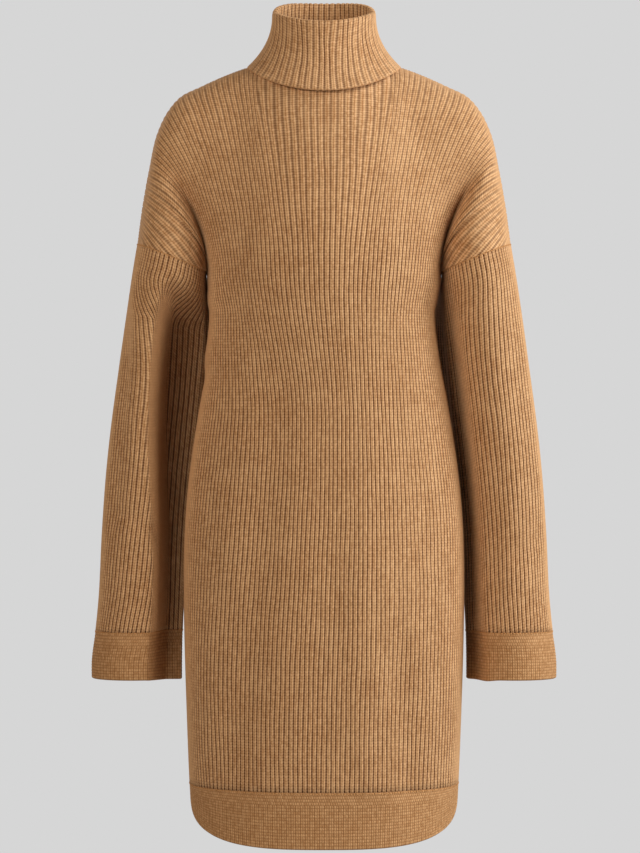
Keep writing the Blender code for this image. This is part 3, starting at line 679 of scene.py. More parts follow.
# ---------------------------------------------------------------- cloth walls
@dataclass
class ClothGrid:
    """Points of a cloth's outer skin in rows and columns, with what its finish follows.

    Args:
        points: rows x columns x 3, in millimetres.
        rib: rib coordinate of each column.
        run: rows x columns, millimetres along the rib.
        closed: the last column is the first one again.
        away: a point inside, away from which the skin faces.
        shown: rows-1 x columns-1, where the grid has cloth.
        drift: how many ribs the knit has slid sideways at each point.
        drawn: 0 to 1, how far the ribs are drawn apart whatever their spacing.
    """

    points: np.ndarray
    rib: np.ndarray
    run: np.ndarray
    closed: bool
    away: np.ndarray
    shown: np.ndarray | None = None
    drift: np.ndarray | float = 0.0
    drawn: np.ndarray | float = 0.0
    normals: np.ndarray = field(init=False)
    pitch: np.ndarray = field(init=False)

    def __post_init__(self) -> None:
        """Works out the normals and the rib spacing."""
        self.measure()

    def slopes(self) -> tuple[np.ndarray, np.ndarray]:
        """How the points move for one rib across, and from row to row."""
        if self.closed:
            period = self.rib[-1] - self.rib[0]
            ring = np.concatenate((self.points[:, -3:-1], self.points, self.points[:, 1:3]), axis=1)
            ribs = np.concatenate((self.rib[-3:-1] - period, self.rib, self.rib[1:3] + period))
            across = np.gradient(ring, ribs, axis=1)[:, 2:-2]
        else:
            across = np.gradient(self.points, self.rib, axis=1)
            if self.shown is not None:
                steps = np.diff(self.points, axis=1) / np.diff(self.rib)[:, None]
                lower = np.concatenate((self.shown[:1], self.shown))
                ends = lower[:, :-1] & ~lower[:, 1:], ~lower[:, :-1] & lower[:, 1:]
                for hidden, used in zip(ends, (0, 1)):
                    row, column = np.nonzero(hidden)
                    across[row, column + 1] = steps[row, column + used]
        return across, np.gradient(self.points, axis=0)

    def measure(self) -> None:
        """Works out the outward normal and the rib spacing of every point."""
        across, down = self.slopes()
        cross = np.cross(across, unit(down))
        self.pitch = np.linalg.norm(cross, axis=-1)
        normals = unit(cross)
        lost = (np.linalg.norm(down, axis=-1) < 1e-4) | (self.pitch < 1e-4)
        for row, column in zip(*np.nonzero(lost)):
            inner = column - 1 if self.rib[column] > 0 else column + 1
            normals[row, column] = normals[row, inner]
        outward = np.einsum("rck,rck->", normals, self.points - self.away)
        self.normals = normals if outward > 0 else -normals

    def press(self, creases: tuple[Crease, ...], across: np.ndarray, scale: float,
              wrap: bool = False) -> None:
        """Lays creases into the cloth.

        Args:
            creases: the creases of this piece.
            across: the place across of each point.
            scale: millimetres in one unit of across.
            wrap: across goes round a tube.
        """
        inwards = np.zeros(self.points.shape[:2])
        for crease in creases:
            at = across
            if wrap:
                middle = (crease.across_top + crease.across_low) / 2
                at = middle + (across - middle + 0.5) % 1.0 - 0.5
            inwards += crease.press(at, self.points[..., 2], scale)
        self.points = self.points - self.normals * inwards[..., None]
        self.measure()

    def waver(self, seed: int, reach: float, still: np.ndarray) -> None:
        """Lets the ribs wander a little sideways.

        Args:
            seed: which unevenness.
            reach: the most they move, in ribs.
            still: 0 to 1 for each point, 0 where the ribs stay in place.
        """
        across, _ = self.slopes()
        shift = wavering(self.rib, self.run, seed) * reach * still
        self.points = self.points + across * shift[..., None]
        self.measure()


@dataclass
class ClothWall:
    """A closed wall of cloth on a grid: a fine outer side and a plainer inner side.

    Args:
        name: the piece's name.
        grid: the outer skin.
        round_top: how far the first row's edge bulges, in millimetres; 0 at a seam.
        round_low: the same for the last row.
        seam_plane: the side of the seams' plane that the wall stays on, if it is a panel.
        relaxed: rib spacing at which the cloth is relaxed.
        stretched: rib spacing at which its ribs are fully drawn apart.
        thickness: the wall's thickness.
    """

    name: str
    grid: ClothGrid
    round_top: float = 0.0
    round_low: float = 0.0
    seam_plane: Face | None = None
    relaxed: float = 5.0
    stretched: float = 9.0
    thickness: float = WALL

    def build(self) -> bpy.types.Object:
        """Makes the wall as one mesh with its UV map and attributes.

        Returns:
            The new object, at the origin and linked to the scene.
        """
        grid = self.grid
        rows, columns = grid.points.shape[:2]
        coarse = np.arange(0, columns, INNER_EVERY)
        normals = grid.normals.copy()
        if self.seam_plane is not None:
            on_seam = np.abs(grid.points[..., 1] - SIDE_Y) < SHOWN_GAP
            normals[on_seam, 1] = 0.0
            normals = unit(normals)
        inner = grid.points - normals * self.thickness
        top = self._edge(0, 1, inner, self.round_top)
        low = self._edge(rows - 1, rows - 2, inner, self.round_low)
        parts = [grid.points.reshape(-1, 3), inner[:, coarse].reshape(-1, 3), top, low]
        starts = np.concatenate(([0], np.cumsum([len(part) for part in parts])))
        points = np.concatenate(parts)
        if self.seam_plane is not None:
            side = self.seam_plane.value
            plane = SIDE_Y + side * SHOWN_GAP / 2
            points[:, 1] = side * np.maximum(side * points[:, 1], side * plane)

        outer_ids = np.arange(rows * columns).reshape(rows, columns)
        inner_ids = starts[1] + np.arange(rows * len(coarse)).reshape(rows, len(coarse))
        mids = {0: starts[2] + np.arange(columns), rows - 1: starts[3] + np.arange(columns)}
        shown = grid.shown if grid.shown is not None else np.ones((rows - 1, columns - 1), bool)
        quads, triangles = self._faces(outer_ids, inner_ids, mids, shown, coarse)

        flat = np.broadcast_to(grid.rib, (rows, columns)) - grid.drift
        stretch = np.maximum(smooth_step(self.relaxed, self.stretched, grid.pitch), grid.drawn)
        edge_rib = np.concatenate((flat[0], flat[-1]))
        edge_run = np.concatenate((grid.run[0], grid.run[-1]))
        count = 2 * columns
        attributes = {
            "rib": np.concatenate((flat.ravel(), flat[:, coarse].ravel() + 0.5, edge_rib)),
            "run": np.concatenate((grid.run.ravel(), grid.run[:, coarse].ravel(), edge_run)),
            "relief": np.concatenate((self._relief().ravel(), self._relief()[:, coarse].ravel(),
                                      np.zeros(count))),
            "stretch": np.concatenate((stretch.ravel(), stretch[:, coarse].ravel(),
                                       stretch[0], stretch[-1])),
        }
        facing = np.concatenate((normals.reshape(-1, 3), -normals[:, coarse].reshape(-1, 3),
                                 np.zeros((count, 3))))
        return self._mesh(points, facing, attributes, quads, triangles)

    def _relief(self) -> np.ndarray:
        """How much of the rib relief each point takes: none where the ribs run together."""
        return smooth_step(1.0, 3.4, self.grid.pitch)

    def _edge(self, row: int, before: int, inner: np.ndarray, bulge: float) -> np.ndarray:
        """Points half way through the thickness along the first or last row."""
        outer = self.grid.points
        out = unit(outer[row] - outer[before])
        return (outer[row] + inner[row]) / 2 + out * bulge

    def _faces(self, outer: np.ndarray, inner: np.ndarray, mids: dict[int, np.ndarray],
               shown: np.ndarray, coarse: np.ndarray) -> tuple[np.ndarray, np.ndarray]:
        """Quads and triangles of both sides and of the edges between them."""
        step = INNER_EVERY
        quads = [np.stack((outer[:-1, :-1], outer[:-1, 1:], outer[1:, 1:], outer[1:, :-1]),
                          axis=-1)[shown]]
        held = shown[:, coarse[:-1]]
        quads.append(np.stack((inner[:-1, :-1], inner[1:, :-1], inner[1:, 1:], inner[:-1, 1:]),
                              axis=-1)[held])
        triangles = []
        padded = np.pad(held, 1)
        across = padded[:-1, 1:-1] != padded[1:, 1:-1]
        for row, k in zip(*np.nonzero(across)):
            at = coarse[k] + np.arange(step + 1)
            fine = outer[row, at]
            near, far = inner[row, k], inner[row, k + 1]
            if row in mids:
                middle = mids[row][at]
                quads.append(np.stack((fine[:-1], fine[1:], middle[1:], middle[:-1]), axis=-1))
                fine = middle
            half = step // 2
            for i in range(step):
                triangles.append((near if i < half else far, fine[i], fine[i + 1]))
            triangles.append((near, fine[half], far))
        if not self.grid.closed:
            beside = padded[1:-1, :-1] != padded[1:-1, 1:]
            for row, k in zip(*np.nonzero(beside)):
                c = coarse[k]
                quads.append(np.array([[outer[row, c], outer[row + 1, c],
                                        inner[row + 1, k], inner[row, k]]]))
        return np.concatenate(quads), np.array(triangles, dtype=np.int64)

    def _mesh(self, points: np.ndarray, facing: np.ndarray, attributes: dict[str, np.ndarray],
              quads: np.ndarray, triangles: np.ndarray) -> bpy.types.Object:
        """The finished mesh object, with its doubles merged and its faces turned out."""
        mesh = bpy.data.meshes.new(self.name)
        used, numbers = np.unique(
            np.concatenate((quads.ravel(), triangles.ravel())), return_inverse=True)
        corners = numbers.astype(np.int32)
        mesh.vertices.add(len(used))
        mesh.vertices.foreach_set("co", (points[used] * MM).astype(np.float32).ravel())
        mesh.loops.add(len(corners))
        mesh.loops.foreach_set("vertex_index", corners)
        quad_starts = np.arange(len(quads)) * 4
        triangle_starts = len(quads) * 4 + np.arange(len(triangles)) * 3
        mesh.polygons.add(len(quads) + len(triangles))
        mesh.polygons.foreach_set(
            "loop_start", np.concatenate((quad_starts, triangle_starts)).astype(np.int32))
        for name, values in attributes.items():
            layer = mesh.attributes.new(name, "FLOAT", "POINT")
            layer.data.foreach_set("value", values[used].astype(np.float32))
        layer = mesh.attributes.new("skin_normal", "FLOAT_VECTOR", "POINT")
        layer.data.foreach_set("vector", facing[used].astype(np.float32).ravel())
        uv = mesh.uv_layers.new(name=UV_NAME)
        pairs = np.stack((attributes["rib"][used], attributes["run"][used]), axis=-1)
        uv.uv.foreach_set("vector", pairs[corners].astype(np.float32).ravel())
        mesh.update(calc_edges=True)
        mesh.validate()
        work = bmesh.new()
        work.from_mesh(mesh)
        bmesh.ops.remove_doubles(work, verts=work.verts, dist=0.004 * MM)
        bmesh.ops.recalc_face_normals(work, faces=work.faces)
        work.to_mesh(mesh)
        open_edges = sum(1 for edge in work.edges if not edge.is_manifold)
        if open_edges:
            log.warning("%s has %d open edges", self.name, open_edges)
        work.free()
        mesh.shade_smooth()
        return put(self.name, mesh)


# ---------------------------------------------------------------- node trees
@dataclass(frozen=True)
class Nodes:
    """Adds nodes to a tree. What goes into an input is a value or another node's output."""

    tree: bpy.types.NodeTree

    def add(self, kind: str, settings: dict | None = None, inputs: dict | None = None,
            output: int | str = 0) -> Socket | None:
        """Adds a node.

        Args:
            kind: the node's type name.
            settings: the node's own properties by name.
            inputs: what goes into each input, by name or number.
            output: which output to give back, by name or number.

        Returns:
            That output of the new node, or none where a tree ends.
        """
        node = self.tree.nodes.new(kind)
        for name, value in (settings or {}).items():
            setattr(node, name, value)
        for key, value in (inputs or {}).items():
            if isinstance(value, Socket):
                self.tree.links.new(value, node.inputs[key])
            else:
                node.inputs[key].default_value = value
        return node.outputs[output] if len(node.outputs) else None

    def math(self, operation: str, *values: float | Socket, clamp: bool = False) -> Socket:
        """Adds one step of a calculation."""
        return self.add("ShaderNodeMath", {"operation": operation, "use_clamp": clamp},
                        dict(enumerate(values)))

    def ramp(self, value: Socket, start: float | Socket = 0.0, end: float = 1.0,
             low: float = 0.0, high: float | Socket = 1.0, smooth: bool = False) -> Socket:
        """Adds a ramp from low, where the value is at start, to high, where it is at end."""
        kind = "SMOOTHSTEP" if smooth else "LINEAR"
        return self.add("ShaderNodeMapRange", {"interpolation_type": kind}, {
            "Value": value, "From Min": start, "From Max": end, "To Min": low, "To Max": high})

    def noise(self, place: Socket, scale: float, detail: float, roughness: float,
              dimensions: str = "3D") -> Socket:
        """Adds cloudy noise."""
        return self.add("ShaderNodeTexNoise", {"noise_dimensions": dimensions}, {
            "Vector": place, "Scale": scale, "Detail": detail, "Roughness": roughness}, "Fac")

    def streaks(self, place: Socket, scale: tuple[float, float, float], detail: float,
                roughness: float) -> Socket:
        """Adds noise on the knit's own map, drawn out by a scale of its own each way."""
        at = self.add("ShaderNodeMapping", {"vector_type": "POINT"},
                      {"Vector": place, "Scale": scale})
        return self.noise(at, 1.0, detail, roughness, "2D")

    def chance(self, place: Socket, dimensions: str) -> Socket:
        """Adds a number of chance for each place."""
        return self.add("ShaderNodeTexWhiteNoise", {"noise_dimensions": dimensions},
                        {"Vector": place}, "Value")

    def blend(self, share: Socket, low: tuple | Socket, high: tuple) -> Socket:
        """Adds a mix of two colours."""
        return self.add("ShaderNodeMix", {"data_type": "RGBA"},
                        {"Factor": share, "A": low, "B": high}, "Result")

    def object_place(self) -> Socket:
        """Adds the place of each point in its object."""
        return self.add("ShaderNodeTexCoord", output="Object")

    def knit_place(self) -> tuple[Socket, Socket, Socket]:
        """Adds the place of each point in its knit: as a whole, across and along."""
        place = self.add("ShaderNodeUVMap", {"uv_map": UV_NAME})
        across = self.add("ShaderNodeSeparateXYZ", inputs={0: place})
        return place, across, across.node.outputs[1]

    def named(self, name: str, kind: str = "FLOAT") -> Socket:
        """Adds a named attribute of a geometry tree."""
        return self.add("GeometryNodeInputNamedAttribute", {"data_type": kind}, {"Name": name},
                        "Attribute")

    def from_crest(self, rib: Socket) -> tuple[Socket, Socket]:
        """Adds the distance from a rib's middle: in ribs with its sign, and as a share to 1."""
        centred = self.math("SUBTRACT", self.math("FRACT", rib), 0.5)
        return centred, self.math("MULTIPLY", self.math("ABSOLUTE", centred), 2.0)

    def pearl_grid(self, wale: Socket, course: Socket,
                   moss_rows: float | Socket) -> tuple[Socket, Socket, Socket, Socket]:
        """Adds the grid of the pearls, each row half a pearl off the last in the moss rows.

        Args:
            wale: count of pearls across.
            course: count of rows of pearls.
            moss_rows: how many of the first rows are moss stitch.

        Returns:
            1 in the moss rows, the row's number, the shifted wale and the pearl's height to 1.
        """
        row = self.math("FLOOR", course)
        moss = self.math("LESS_THAN", course, moss_rows)
        shifted = self.math("MULTIPLY_ADD", row, self.math("MULTIPLY", moss, 0.5), wale)
        waves = [self.math("ABSOLUTE", self.math("SINE", self.math("MULTIPLY", at, math.pi)))
                 for at in (shifted, course)]
        return moss, row, shifted, self.math("MULTIPLY", *waves)

    def end_geometry(self, geometry: Socket, material: Socket) -> None:
        """Ends a geometry tree in real geometry with its material."""
        real = self.add("GeometryNodeRealizeInstances", inputs={0: geometry})
        dressed = self.add("GeometryNodeSetMaterial",
                           inputs={"Geometry": real, "Material": material})
        self.add("NodeGroupOutput", inputs={0: dressed})

    def end_relief(self, given: bpy.types.NodeOutputs, height: Socket) -> None:
        """Ends a geometry tree that moves the skin out by a height where it takes relief."""
        faded = self.math("MULTIPLY", height, self.named("relief"))
        offset = self.add("ShaderNodeVectorMath", {"operation": "SCALE"}, {
            0: self.named("skin_normal", "FLOAT_VECTOR"), "Scale": faded})
        moved = self.add("GeometryNodeSetPosition",
                         inputs={"Geometry": given["Geometry"], "Offset": offset})
        self.end_geometry(moved, given["Material"])


def new_tree(name: str, inputs: dict[str, str]) -> tuple[Nodes, bpy.types.NodeOutputs]:
    """Starts a geometry tree that takes geometry, some values and a material.

    Args:
        name: the tree's name.
        inputs: the kind of each value by its name.

    Returns:
        The tree's nodes and what it is given.
    """
    tree = bpy.data.node_groups.new(name, "GeometryNodeTree")
    tree.interface.new_socket("Geometry", in_out="INPUT", socket_type="NodeSocketGeometry")
    tree.interface.new_socket("Geometry", in_out="OUTPUT", socket_type="NodeSocketGeometry")
    for label, kind in (inputs | {"Material": "Material"}).items():
        tree.interface.new_socket(label, in_out="INPUT", socket_type=f"NodeSocket{kind}")
    return Nodes(tree), tree.nodes.new("NodeGroupInput").outputs


def new_material(name: str) -> tuple[bpy.types.Material, Nodes]:
    """An empty material and its nodes."""
    made = bpy.data.materials.new(name)
    made.use_nodes = True
    made.node_tree.nodes.clear()
    return made, Nodes(made.node_tree)


def settle(piece: bpy.types.Object, tree: bpy.types.NodeTree, values: dict) -> None:
    """Runs a geometry tree on a piece and keeps what it makes as the piece's plain mesh.

    Args:
        piece: the object.
        tree: the tree.
        values: the tree's inputs by name.
    """
    modifier = piece.modifiers.new(tree.name, "NODES")
    modifier.node_group = tree
    for item in tree.interface.items_tree:
        if item.in_out == "INPUT" and item.name in values:
            modifier[item.identifier] = values[item.name]
    graph = bpy.context.evaluated_depsgraph_get()
    made = bpy.data.meshes.new_from_object(
        piece.evaluated_get(graph), preserve_all_data_layers=True, depsgraph=graph)
    piece.modifiers.remove(modifier)
    old, piece.data = piece.data, made
    made.name = piece.name
    bpy.data.meshes.remove(old)


@dataclass(frozen=True)
class RibRelief:
    """Raises the ribs of a rib knit out of a plain skin: round crests and narrow valleys."""

    crest: float = 0.3           # how far the crests stand out, in millimetres
    valley: float = 1.05         # how far the valleys lie in
    relaxed_power: float = 2.6   # squareness of the crests where the cloth is relaxed
    stretched_power: float = 1.6
    stretched_depth: float = 0.4  # share of the relief that is left where it is stretched

    def tree(self) -> bpy.types.NodeTree:
        """Builds the node tree."""
        nodes, given = new_tree("rib relief", {"Crest": "Float", "Valley": "Float"})
        _, beside = nodes.from_crest(nodes.named("rib"))
        stretch = nodes.named("stretch")
        power = nodes.ramp(stretch, low=self.relaxed_power, high=self.stretched_power)
        left = nodes.ramp(stretch, low=1.0, high=self.stretched_depth)
        depth = nodes.math("ADD", given["Crest"], given["Valley"])
        drop = nodes.math("MULTIPLY", nodes.math("POWER", beside, power), depth)
        height = nodes.math("SUBTRACT", given["Crest"], drop)
        nodes.end_relief(given, nodes.math("MULTIPLY", height, left))
        return nodes.tree

    def values(self, material: bpy.types.Material) -> dict:
        """The tree's inputs for a piece."""
        return {"Crest": self.crest * MM, "Valley": self.valley * MM, "Material": material}


@dataclass(frozen=True)
class PearlRelief:
    """Raises the small pearls of the bands' flat knit, which stand in a square grid."""

    pearl: float = 0.26          # how far a pearl stands out, in millimetres
    hollow: float = 0.16         # how far the gaps between pearls lie in

    def tree(self) -> bpy.types.NodeTree:
        """Builds the node tree."""
        nodes, given = new_tree(
            "pearl relief", {"Pearl": "Float", "Hollow": "Float", "Moss Rows": "Float"})
        *_, pearl = nodes.pearl_grid(
            nodes.named("wale"), nodes.named("course"), given["Moss Rows"])
        depth = nodes.math("ADD", given["Pearl"], given["Hollow"])
        rise = nodes.math("MULTIPLY", pearl, depth)
        nodes.end_relief(given, nodes.math("SUBTRACT", rise, given["Hollow"]))
        return nodes.tree

    def values(self, material: bpy.types.Material) -> dict:
        """The tree's inputs for a piece."""
        return {"Pearl": self.pearl * MM, "Hollow": self.hollow * MM,
                "Moss Rows": float(MOSS_ROWS), "Material": material}


@dataclass(frozen=True)
class SeamStitches:
    """A row of small plump stitches along a path, as in linking or in the first purl row."""

    pitch: float = 3.4
    length: float = 3.0
    width: float = 1.7
    height: float = 1.3

    @staticmethod
    def tree() -> bpy.types.NodeTree:
        """Builds the node tree."""
        nodes, given = new_tree("seam stitches", {"Pitch": "Float", "Size": "Vector"})
        path = nodes.add("GeometryNodeMeshToCurve", inputs={"Mesh": given["Geometry"]})
        spaced = nodes.add("GeometryNodeResampleCurve", {"mode": "LENGTH"},
                           {"Curve": path, "Length": given["Pitch"]})
        along = nodes.add("FunctionNodeAlignRotationToVector", {"axis": "X"},
                          {"Vector": nodes.add("GeometryNodeInputTangent")})
        upright = nodes.add("FunctionNodeAlignRotationToVector", {"axis": "Z", "pivot_axis": "X"},
                            {"Rotation": along,
                             "Vector": nodes.named("skin_normal", "FLOAT_VECTOR")})
        ball = nodes.add("GeometryNodeMeshUVSphere",
                         inputs={"Segments": 8, "Rings": 4, "Radius": 0.5})
        smooth = nodes.add("GeometryNodeSetShadeSmooth", inputs={0: ball})
        placed = nodes.add("GeometryNodeInstanceOnPoints", inputs={
            "Points": spaced, "Instance": smooth, "Rotation": upright, "Scale": given["Size"]})
        nodes.end_geometry(placed, given["Material"])
        return nodes.tree

    def sew(self, name: str, paths: list[np.ndarray], facing: list[np.ndarray],
            tree: bpy.types.NodeTree, material: bpy.types.Material) -> bpy.types.Object:
        """Sews stitches along paths.

        Args:
            name: the piece's name.
            paths: points of each path, in millimetres.
            facing: the cloth's normal at each point.
            tree: the stitch tree.
            material: the stitches' material.

        Returns:
            One object with all the stitches.
        """
        mesh = bpy.data.meshes.new(name)
        points = np.concatenate(paths) * MM
        edges, start = [], 0
        for path in paths:
            edges += [(start + i, start + i + 1) for i in range(len(path) - 1)]
            start += len(path)
        mesh.from_pydata(points.tolist(), edges, [])
        layer = mesh.attributes.new("skin_normal", "FLOAT_VECTOR", "POINT")
        layer.data.foreach_set("vector", np.concatenate(facing).astype(np.float32).ravel())
        made = put(name, mesh)
        size = Vector((self.length, self.width, self.height)) * MM
        settle(made, tree, {"Pitch": self.pitch * MM, "Size": size, "Material": material})
        return made


# ---------------------------------------------------------------- finishes
@dataclass(frozen=True)
class RibKnitWool:
    """Brushed two-ply wool, knitted in a plain rib.

    Wool scatters light softly and its nap gives a pale haze at grazing angles. The two plies show as
    a pair of fine pale lines on each crest, with painted shade in the groove between them, and the
    purl valleys carry painted shade, beaded, on top of their real relief.
    """

    name: str = "brushed_wool_rib_knit"
    crest: str = "#e4b98b"
    # the side colour carries the painted shade of the plies' groove and of the gaps between rows,
    # besides the darker end of the stitches' random tone
    side: str = "#a37042"
    # painted shade: the colour laid into the rib valleys, where shade falls between the crests
    valley: str = "#5c3416"
    nap: str = "#f0cda6"
    roughness: float = 0.88
    shine: float = 0.2
    sheen: float = 0.12
    sheen_roughness: float = 0.45
    relaxed_valley: float = 0.48   # share of a rib that has the painted valley shade where the cloth is relaxed
    stretched_valley: float = 0.58
    valley_full: float = 0.86      # share of the way to the valley's middle where its painted shade is darkest
    valley_uneven: float = 0.12    # how much its width comes and goes, in the same share
    stretched_shade: float = 0.62  # how dark the painted shade of stretched valleys is, over the relaxed ones
    bead_shade: float = 0.72       # how dark a valley's painted shade is between two beads
    edge_haze: float = 0.85        # how much the nap hides the painted valley shade where it is seen edge-on
    haze_shade: float = 0.35       # how dark the crests are under that haze
    leg_slant: float = 0.3         # how far a stitch's legs rise to the valley, in rows
    row_shade: float = 0.3         # how dark the painted shade in the gaps between two rows of stitches is
    groove_shade: float = 0.5      # how dark the painted shade in the groove between the two plies is
    chance_shade: float = 0.4      # how much single stitches differ
    fibre_shade: float = 0.2
    mottle_shade: float = 0.12
    bump: float = 0.45
    bump_depth: float = 0.5        # in millimetres

    def build(self) -> bpy.types.Material:
        """Makes the material."""
        made, nodes = new_material(self.name)
        place, rib, run = nodes.knit_place()
        centred, beside = nodes.from_crest(rib)
        stretch = nodes.add("ShaderNodeAttribute", {"attribute_name": "stretch"}, output="Fac")

        # rows of stitches, whose legs slant up from the middle of the rib
        rows = nodes.math("DIVIDE", run, STITCH_ROW)
        slanted = nodes.math("MULTIPLY_ADD", beside, self.leg_slant, rows)
        wave = nodes.math("COSINE", nodes.math("MULTIPLY", slanted, 2 * math.pi))
        between = nodes.ramp(wave, 0.1, 1.0, smooth=True)

        # each stitch and each length of valley is a little lighter or darker than the next
        stitch = nodes.add("ShaderNodeCombineXYZ", inputs={
            0: nodes.math("FLOOR", rib), 1: nodes.math("FLOOR", slanted),
            2: nodes.math("SIGN", centred)})
        chance = nodes.chance(stitch, "3D")
        drift = nodes.streaks(place, (0.9, 0.045, 1.0), 2.0, 0.6)

        # the painted shade of the valley, wider and softer where the cloth is stretched
        share = nodes.ramp(stretch, low=1.0 - self.relaxed_valley,
                           high=1.0 - self.stretched_valley)
        uneven = nodes.ramp(drift, 0.3, 0.7, self.valley_uneven, -self.valley_uneven)
        valley = nodes.ramp(beside, nodes.math("ADD", share, uneven), self.valley_full,
                            smooth=True)
        beads = nodes.ramp(wave, -1.0, 1.0, self.bead_shade, 1.0)
        softened = nodes.ramp(stretch, low=1.0, high=self.stretched_shade)
        # painted shade of the valley, beaded, and lighter where the cloth is stretched
        painted_valley_shade = nodes.math("MULTIPLY", nodes.math("MULTIPLY", valley, beads), softened)

        # where the cloth turns away, fuzz seen edge-on hides the painted shade of what lies between
        skin = nodes.add("ShaderNodeAttribute", {"attribute_name": "skin_normal"},
                         output="Vector")
        incoming = nodes.add("ShaderNodeNewGeometry", output="Incoming")
        facing = nodes.add("ShaderNodeVectorMath", {"operation": "DOT_PRODUCT"},
                           {0: skin, 1: incoming}, "Value")
        clear = nodes.ramp(facing, 0.1, 0.5, 1.0 - self.edge_haze, 1.0, smooth=True)

        # the two plies of the crest, with painted shade in the groove between them
        groove = nodes.ramp(beside, 0.04, 0.3, 1.0, 0.0, smooth=True)
        fibres = nodes.streaks(place, (9.0, 1.1, 1.0), 3.0, 0.7)
        mottle = nodes.noise(nodes.object_place(), 28.0, 3.0, 0.6)
        # painted shade of the plies' groove and of the gaps between rows, with the random tone of
        # stitches, fibres and mottle
        shade = nodes.math("MULTIPLY", groove, self.groove_shade)
        shade = nodes.math("MULTIPLY_ADD", between, self.row_shade, shade)
        shade = nodes.math("MULTIPLY_ADD", chance, self.chance_shade, shade)
        shade = nodes.math("ADD", shade, nodes.ramp(
            fibres, 0.3, 0.7, -self.fibre_shade, self.fibre_shade))
        shade = nodes.math("ADD", shade, nodes.ramp(
            mottle, 0.3, 0.7, -self.mottle_shade, self.mottle_shade), clamp=True)
        ply = nodes.blend(nodes.ramp(clear, low=self.haze_shade, high=shade),
                          linear(self.crest), linear(self.side))
        # the valley colour laid over the plies as painted shade
        colour = nodes.blend(nodes.math("MULTIPLY", painted_valley_shade, clear), ply, linear(self.valley))

        # fine relief: the legs of the stitches, the groove between the plies, loose fibres
        height = nodes.math("MULTIPLY_ADD", between, -0.45, 1.0)
        height = nodes.math("MULTIPLY_ADD", groove, -0.6, height)
        height = nodes.math("MULTIPLY_ADD", fibres, 0.5, height)
        self.shade(nodes, colour, height)
        return made

    def shade(self, nodes: Nodes, colour: Socket, height: Socket) -> None:
        """Ends a material in the wool's own shader, with a height for its finest relief."""
        bump = nodes.add("ShaderNodeBump", inputs={
            "Strength": self.bump, "Distance": self.bump_depth * MM, "Height": height})
        shader = nodes.add("ShaderNodeBsdfPrincipled", inputs={
            "Base Color": colour, "Roughness": self.roughness, "Specular IOR Level": self.shine,
            "Sheen Weight": self.sheen, "Sheen Roughness": self.sheen_roughness,
            "Sheen Tint": linear(self.nap), "Normal": bump})
        nodes.add("ShaderNodeOutputMaterial", inputs={0: shader})


@dataclass(frozen=True)
class PearlKnitWool(RibKnitWool):
    """The same wool knitted flat and fine in the cuffs and the hem band.

    Small pearls catch the light in rows, with painted shade in the gaps between them and only a
    faint upright line of painted shade where a rib would be.
    """

    name: str = "brushed_wool_pearl_knit"
    crest: str = "#d6a97a"
    side: str = "#ac7d50"
    # painted shade: the colour laid into the gaps between the pearls and along the upright line
    valley: str = "#855a33"
    gap_shade: float = 0.55        # how dark the painted shade in the gaps between the pearls is
    line_share: float = 0.4        # how dark the painted shade of the upright line between two ribs is
    bump_depth: float = 0.4

    def build(self) -> bpy.types.Material:
        """Makes the material."""
        made, nodes = new_material(self.name)
        _, wale, course = nodes.knit_place()
        moss, row, shifted, pearl = nodes.pearl_grid(wale, course, float(MOSS_ROWS))
        cell = nodes.add("ShaderNodeCombineXYZ",
                         inputs={0: nodes.math("FLOOR", shifted), 1: row})
        fibres = nodes.noise(nodes.object_place(), 900.0, 3.0, 0.7)
        # painted shade in the gaps between pearls and along the upright line between two ribs
        gaps = nodes.ramp(pearl, 0.0, 0.6, self.gap_shade, 0.0, smooth=True)
        pair = nodes.math("PINGPONG", wale, 1.0)
        line = nodes.ramp(pair, 0.0, 0.3, self.line_share, 0.0, smooth=True)
        flat = nodes.math("SUBTRACT", 1.0, moss)
        painted_gap_and_line_shade = nodes.math("MULTIPLY_ADD", line, flat, gaps, clamp=True)
        uneven = nodes.math("MULTIPLY_ADD", nodes.chance(cell, "2D"), 0.5, fibres)
        ply = nodes.blend(nodes.ramp(uneven, 0.3, 1.2), linear(self.crest), linear(self.side))
        colour = nodes.blend(painted_gap_and_line_shade, ply, linear(self.valley))
        self.shade(nodes, colour, nodes.math("MULTIPLY_ADD", fibres, 0.4, pearl))
        return made


@dataclass(frozen=True)
class StitchWool(RibKnitWool):
    """The same two-ply wool as single stitches in a seam: plain loops with a little fuzz."""

    name: str = "brushed_wool_linking_yarn"
    crest: str = "#d9a671"
    side: str = "#ab7845"
    bump: float = 0.4
    bump_depth: float = 0.3

    def build(self) -> bpy.types.Material:
        """Makes the material."""
        made, nodes = new_material(self.name)
        fibres = nodes.noise(nodes.object_place(), 1100.0, 3.0, 0.7)
        self.shade(nodes, nodes.blend(fibres, linear(self.crest), linear(self.side)), fibres)
        return made


@dataclass(frozen=True)
class StudioPaint:
    """Matt pale grey paint of a studio floor, which fades out where the floor ends."""

    name: str = "matt_studio_floor_paint"
    colour: str = "#dcdcdc"
    roughness: float = 0.9
    shine: float = 0.1
    full_until: float = 1.4        # metres from the middle
    gone_at: float = 3.0

    def build(self) -> bpy.types.Material:
        """Makes the material."""
        made, nodes = new_material(self.name)
        flat = nodes.add("ShaderNodeVectorMath", {"operation": "MULTIPLY"},
                         {0: nodes.object_place(), 1: (1.0, 1.0, 0.0)})
        radius = nodes.add("ShaderNodeVectorMath", {"operation": "LENGTH"}, {0: flat}, "Value")
        gone = nodes.ramp(radius, self.full_until, self.gone_at, smooth=True)
        paint = nodes.add("ShaderNodeBsdfPrincipled", inputs={
            "Base Color": linear(self.colour), "Roughness": self.roughness,
            "Specular IOR Level": self.shine})
        clear = nodes.add("ShaderNodeBsdfTransparent")
        mixed = nodes.add("ShaderNodeMixShader", inputs={0: gone, 1: paint, 2: clear})
        nodes.add("ShaderNodeOutputMaterial", inputs={0: mixed})
        return made


